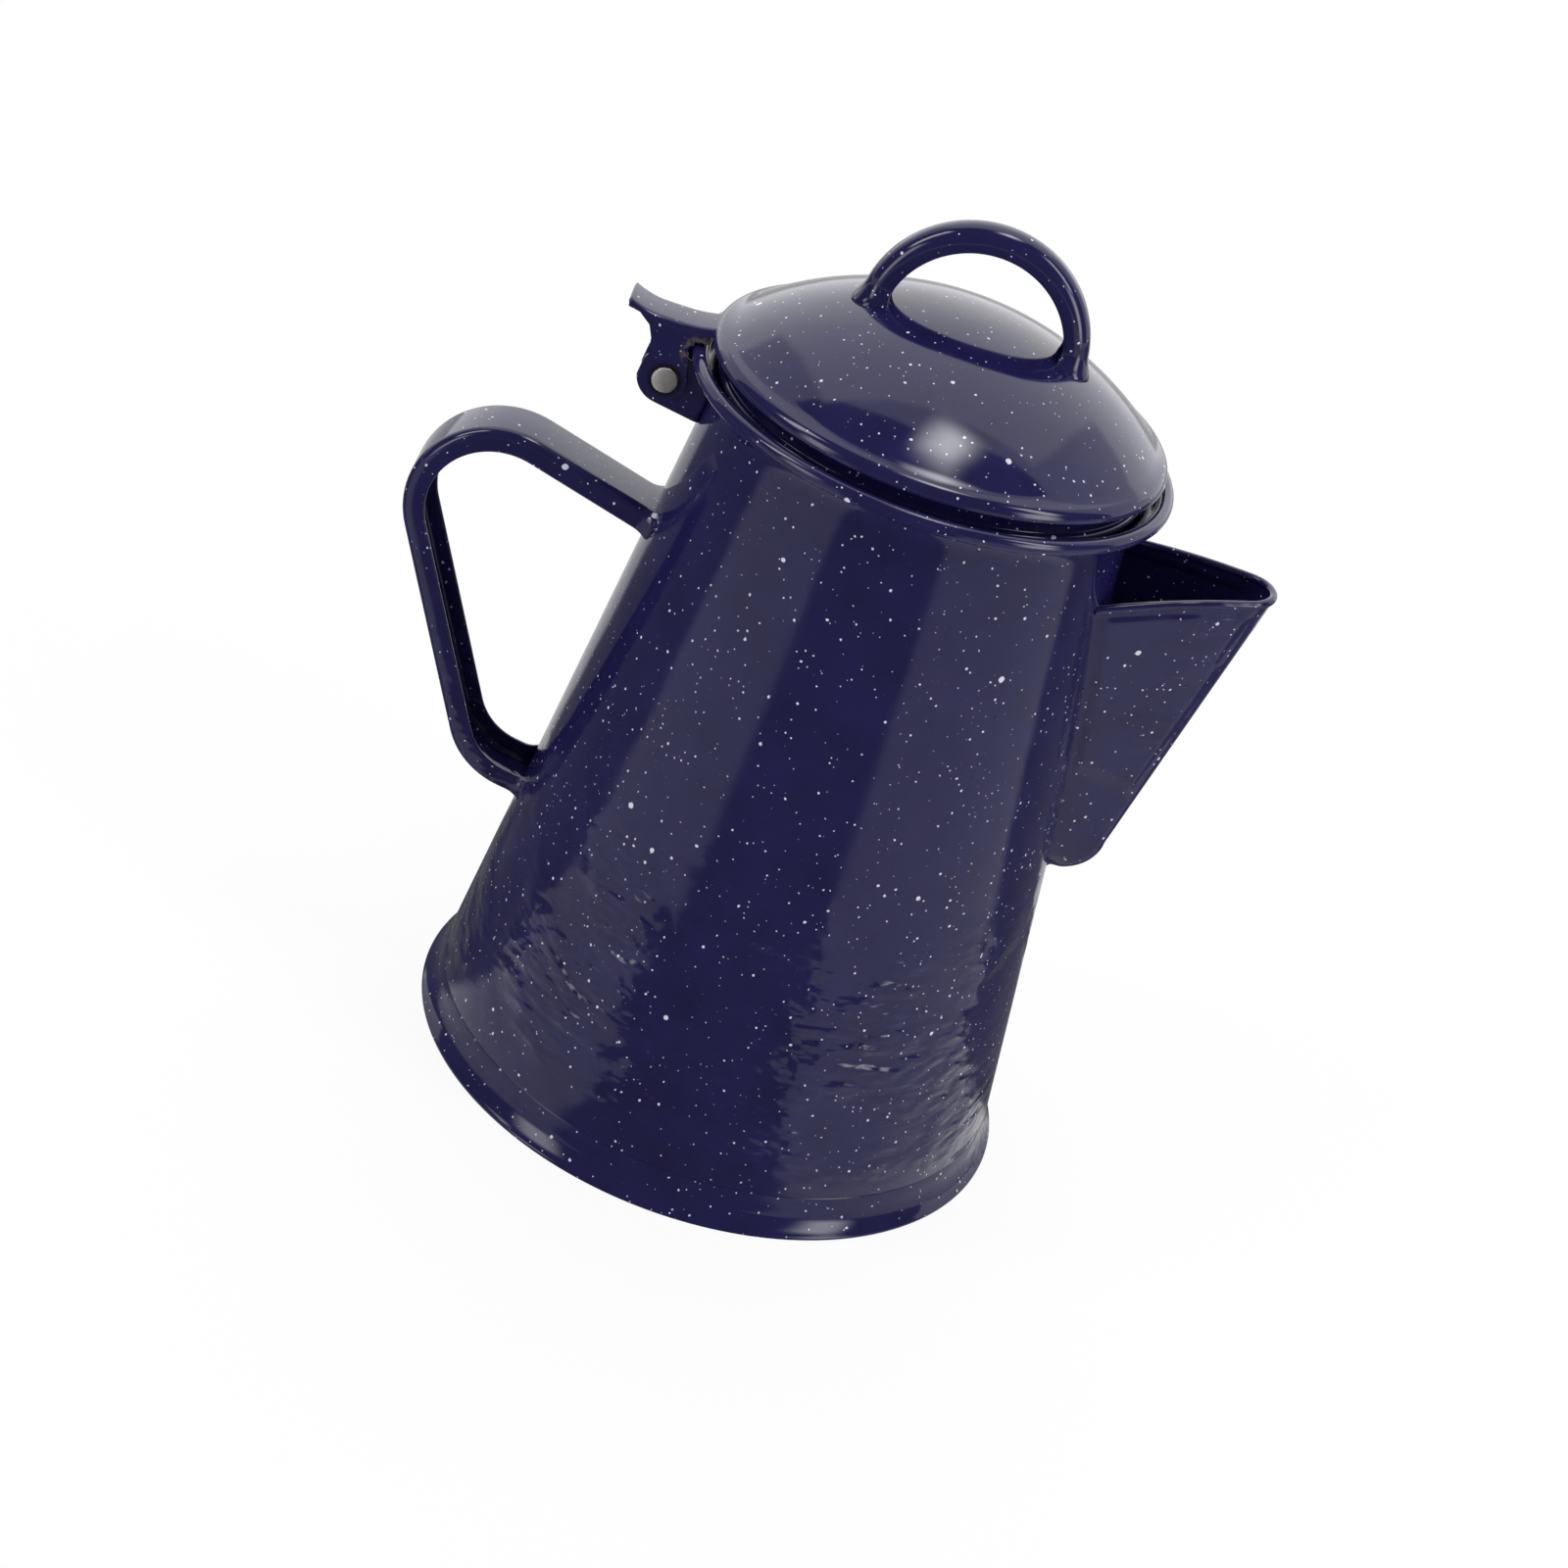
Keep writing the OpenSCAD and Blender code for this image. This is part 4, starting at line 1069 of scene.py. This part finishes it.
def soft_edges(width, height, edge):
    """A mask that fades out over the outer edge of a panel, in metres."""
    def mask(material):
        place = add_node(material, "TexCoord").outputs["Object"]
        axes = add_node(material, "SeparateXYZ", inputs={"Vector": place})
        fades = []
        for axis, size in (("X", width), ("Y", height)):
            distance = add_node(material, "Math", {"operation": "ABSOLUTE"}, {
                0: axes.outputs[axis]})
            fades.append(add_node(material, "MapRange", SMOOTH, {
                "Value": distance.outputs["Value"], "From Min": size / 2,
                "From Max": size / 2 - edge}).outputs["Result"])
        return add_node(material, "Math", {"operation": "MULTIPLY"}, {
            0: fades[0], 1: fades[1]}).outputs["Value"]
    return mask


def softbox(name, at, width, height, edge, strength):
    """Hangs a glowing panel at a place in metres, facing the pot."""
    towards = Vector((0, 0, 0.1)) - Vector(at)
    deselect()
    bpy.ops.mesh.primitive_plane_add(
        size=1, location=at, rotation=towards.to_track_quat("Z", "Y").to_euler())
    panel = bpy.context.object
    for vertex in panel.data.vertices:
        vertex.co = (vertex.co.x * width, vertex.co.y * height, 0)
    hang(name, panel, strength, soft_edges(width, height, edge))


softbox("back_softbox", (0, 2.2, 0.75), 5.0, 1.7, 0.2, 1.6)
softbox("overhead_softbox", (0, 1.15, 1.75), 2.6, 2.0, 0.12, 1.6)
softbox("left_softbox", (-0.95, -0.75, 0.4), 0.55, 0.9, 0.24, 4.0)
softbox("right_softbox", (1.0, -0.62, 0.4), 0.6, 0.9, 0.26, 5.5)
softbox("left_high_softbox", (-0.9, -0.24, 0.98), 0.4, 0.75, 0.15, 7.0)
softbox("right_high_softbox", (0.85, -0.32, 1.0), 0.36, 0.75, 0.15, 7.0)
softbox("top_softbox", (0.12, -0.05, 1.4), 0.55, 0.5, 0.24, 11.0)


def wedge(half_angle, edge, rest):
    """A mask of a wedge round a plane's own X axis, with its soft edges in degrees, and its value
    outside the wedge, where a thin net lies on the paper."""
    def mask(material):
        place = add_node(material, "TexCoord").outputs["Object"]
        turn = add_node(material, "TexGradient", {"gradient_type": "RADIAL"}, {"Vector": place})
        off = add_node(material, "Math", {"operation": "SUBTRACT"}, {
            0: turn.outputs["Fac"], 1: 0.5})
        away = add_node(material, "Math", {"operation": "ABSOLUTE"}, {0: off.outputs["Value"]})
        return add_node(material, "MapRange", SMOOTH, {
            "Value": away.outputs["Value"], "From Min": (half_angle + edge) / 360,
            "From Max": (half_angle - edge) / 360, "To Min": rest}).outputs["Result"]
    return mask


wedges = (("front_velvet", 0, 27, 0.38), ("left_velvet", -104, 29, 0), ("right_velvet", 118, 18, 0))
for layer, (name, middle, half_angle, net) in enumerate(wedges, 1):
    deselect()
    bpy.ops.mesh.primitive_plane_add(
        size=VELVET_SIZE, location=(0, 0, layer * LAYER * MM),
        rotation=(0, 0, radians(CAMERA_TURN + middle)))
    hang(name, bpy.context.object, VELVET, wedge(half_angle, WEDGE_EDGE, net), lights=False)

deselect()
bpy.ops.mesh.primitive_uv_sphere_add(segments=72, ring_count=36, radius=TENT_R)
tent = bpy.context.object
bpy.ops.object.mode_set(mode="EDIT")
select("FACE", lambda p: p.z < 0 or abs(
    (degrees(atan2(p.y, p.x)) - CAMERA_TURN + 180) % 360 - 180) > TENT_HALF_ANGLE)
bpy.ops.mesh.delete(type="FACE")
bpy.ops.object.mode_set(mode="OBJECT")
hang("velvet_tent", tent, VELVET, None, lights=False)

WORLD_LIGHT = 0.35  # strength of the world's light on the pot; what is seen of it is white

world = bpy.data.worlds.new("studio")
bpy.context.scene.world = world
world.use_nodes = True
level = add_node(world, "MapRange", inputs={
    "Value": seen_directly(world), "To Min": WORLD_LIGHT})
sky = add_node(world, "Background", inputs={
    "Color": (1, 1, 1, 1), "Strength": level.outputs["Result"]})
finish_surface(world, sky.outputs["Background"])

# ---- Camera ----
# It looks down at the pot's middle by 27 degrees from about 0.74 m. It has no shift, and it is
# rolled, so that the pot leans.

CAMERA_PLACE = (-45.87, -655.42, 434.79)
CAMERA_TARGET = (-4.05, 0, 71.82)
CAMERA_ROLL = 19.73
FOCAL_PX = 3470  # focal length in pixels of the picture
PICTURE_PX = 1600

view_data = bpy.data.cameras.new("view")
view = bpy.data.objects.new("view", view_data)
bpy.context.scene.collection.objects.link(view)
view_data.sensor_width = 36
view_data.lens = FOCAL_PX / PICTURE_PX * view_data.sensor_width
view_data.clip_start = 0.01
backwards = Vector(CAMERA_PLACE) - Vector(CAMERA_TARGET)
view.location = Vector(CAMERA_PLACE) * MM
view.rotation_mode = "QUATERNION"
roll = Quaternion((0, 0, 1), radians(CAMERA_ROLL))
view.rotation_quaternion = backwards.to_track_quat("Z", "Y") @ roll
bpy.context.scene.camera = view
bpy.context.scene.view_settings.view_transform = "Standard"
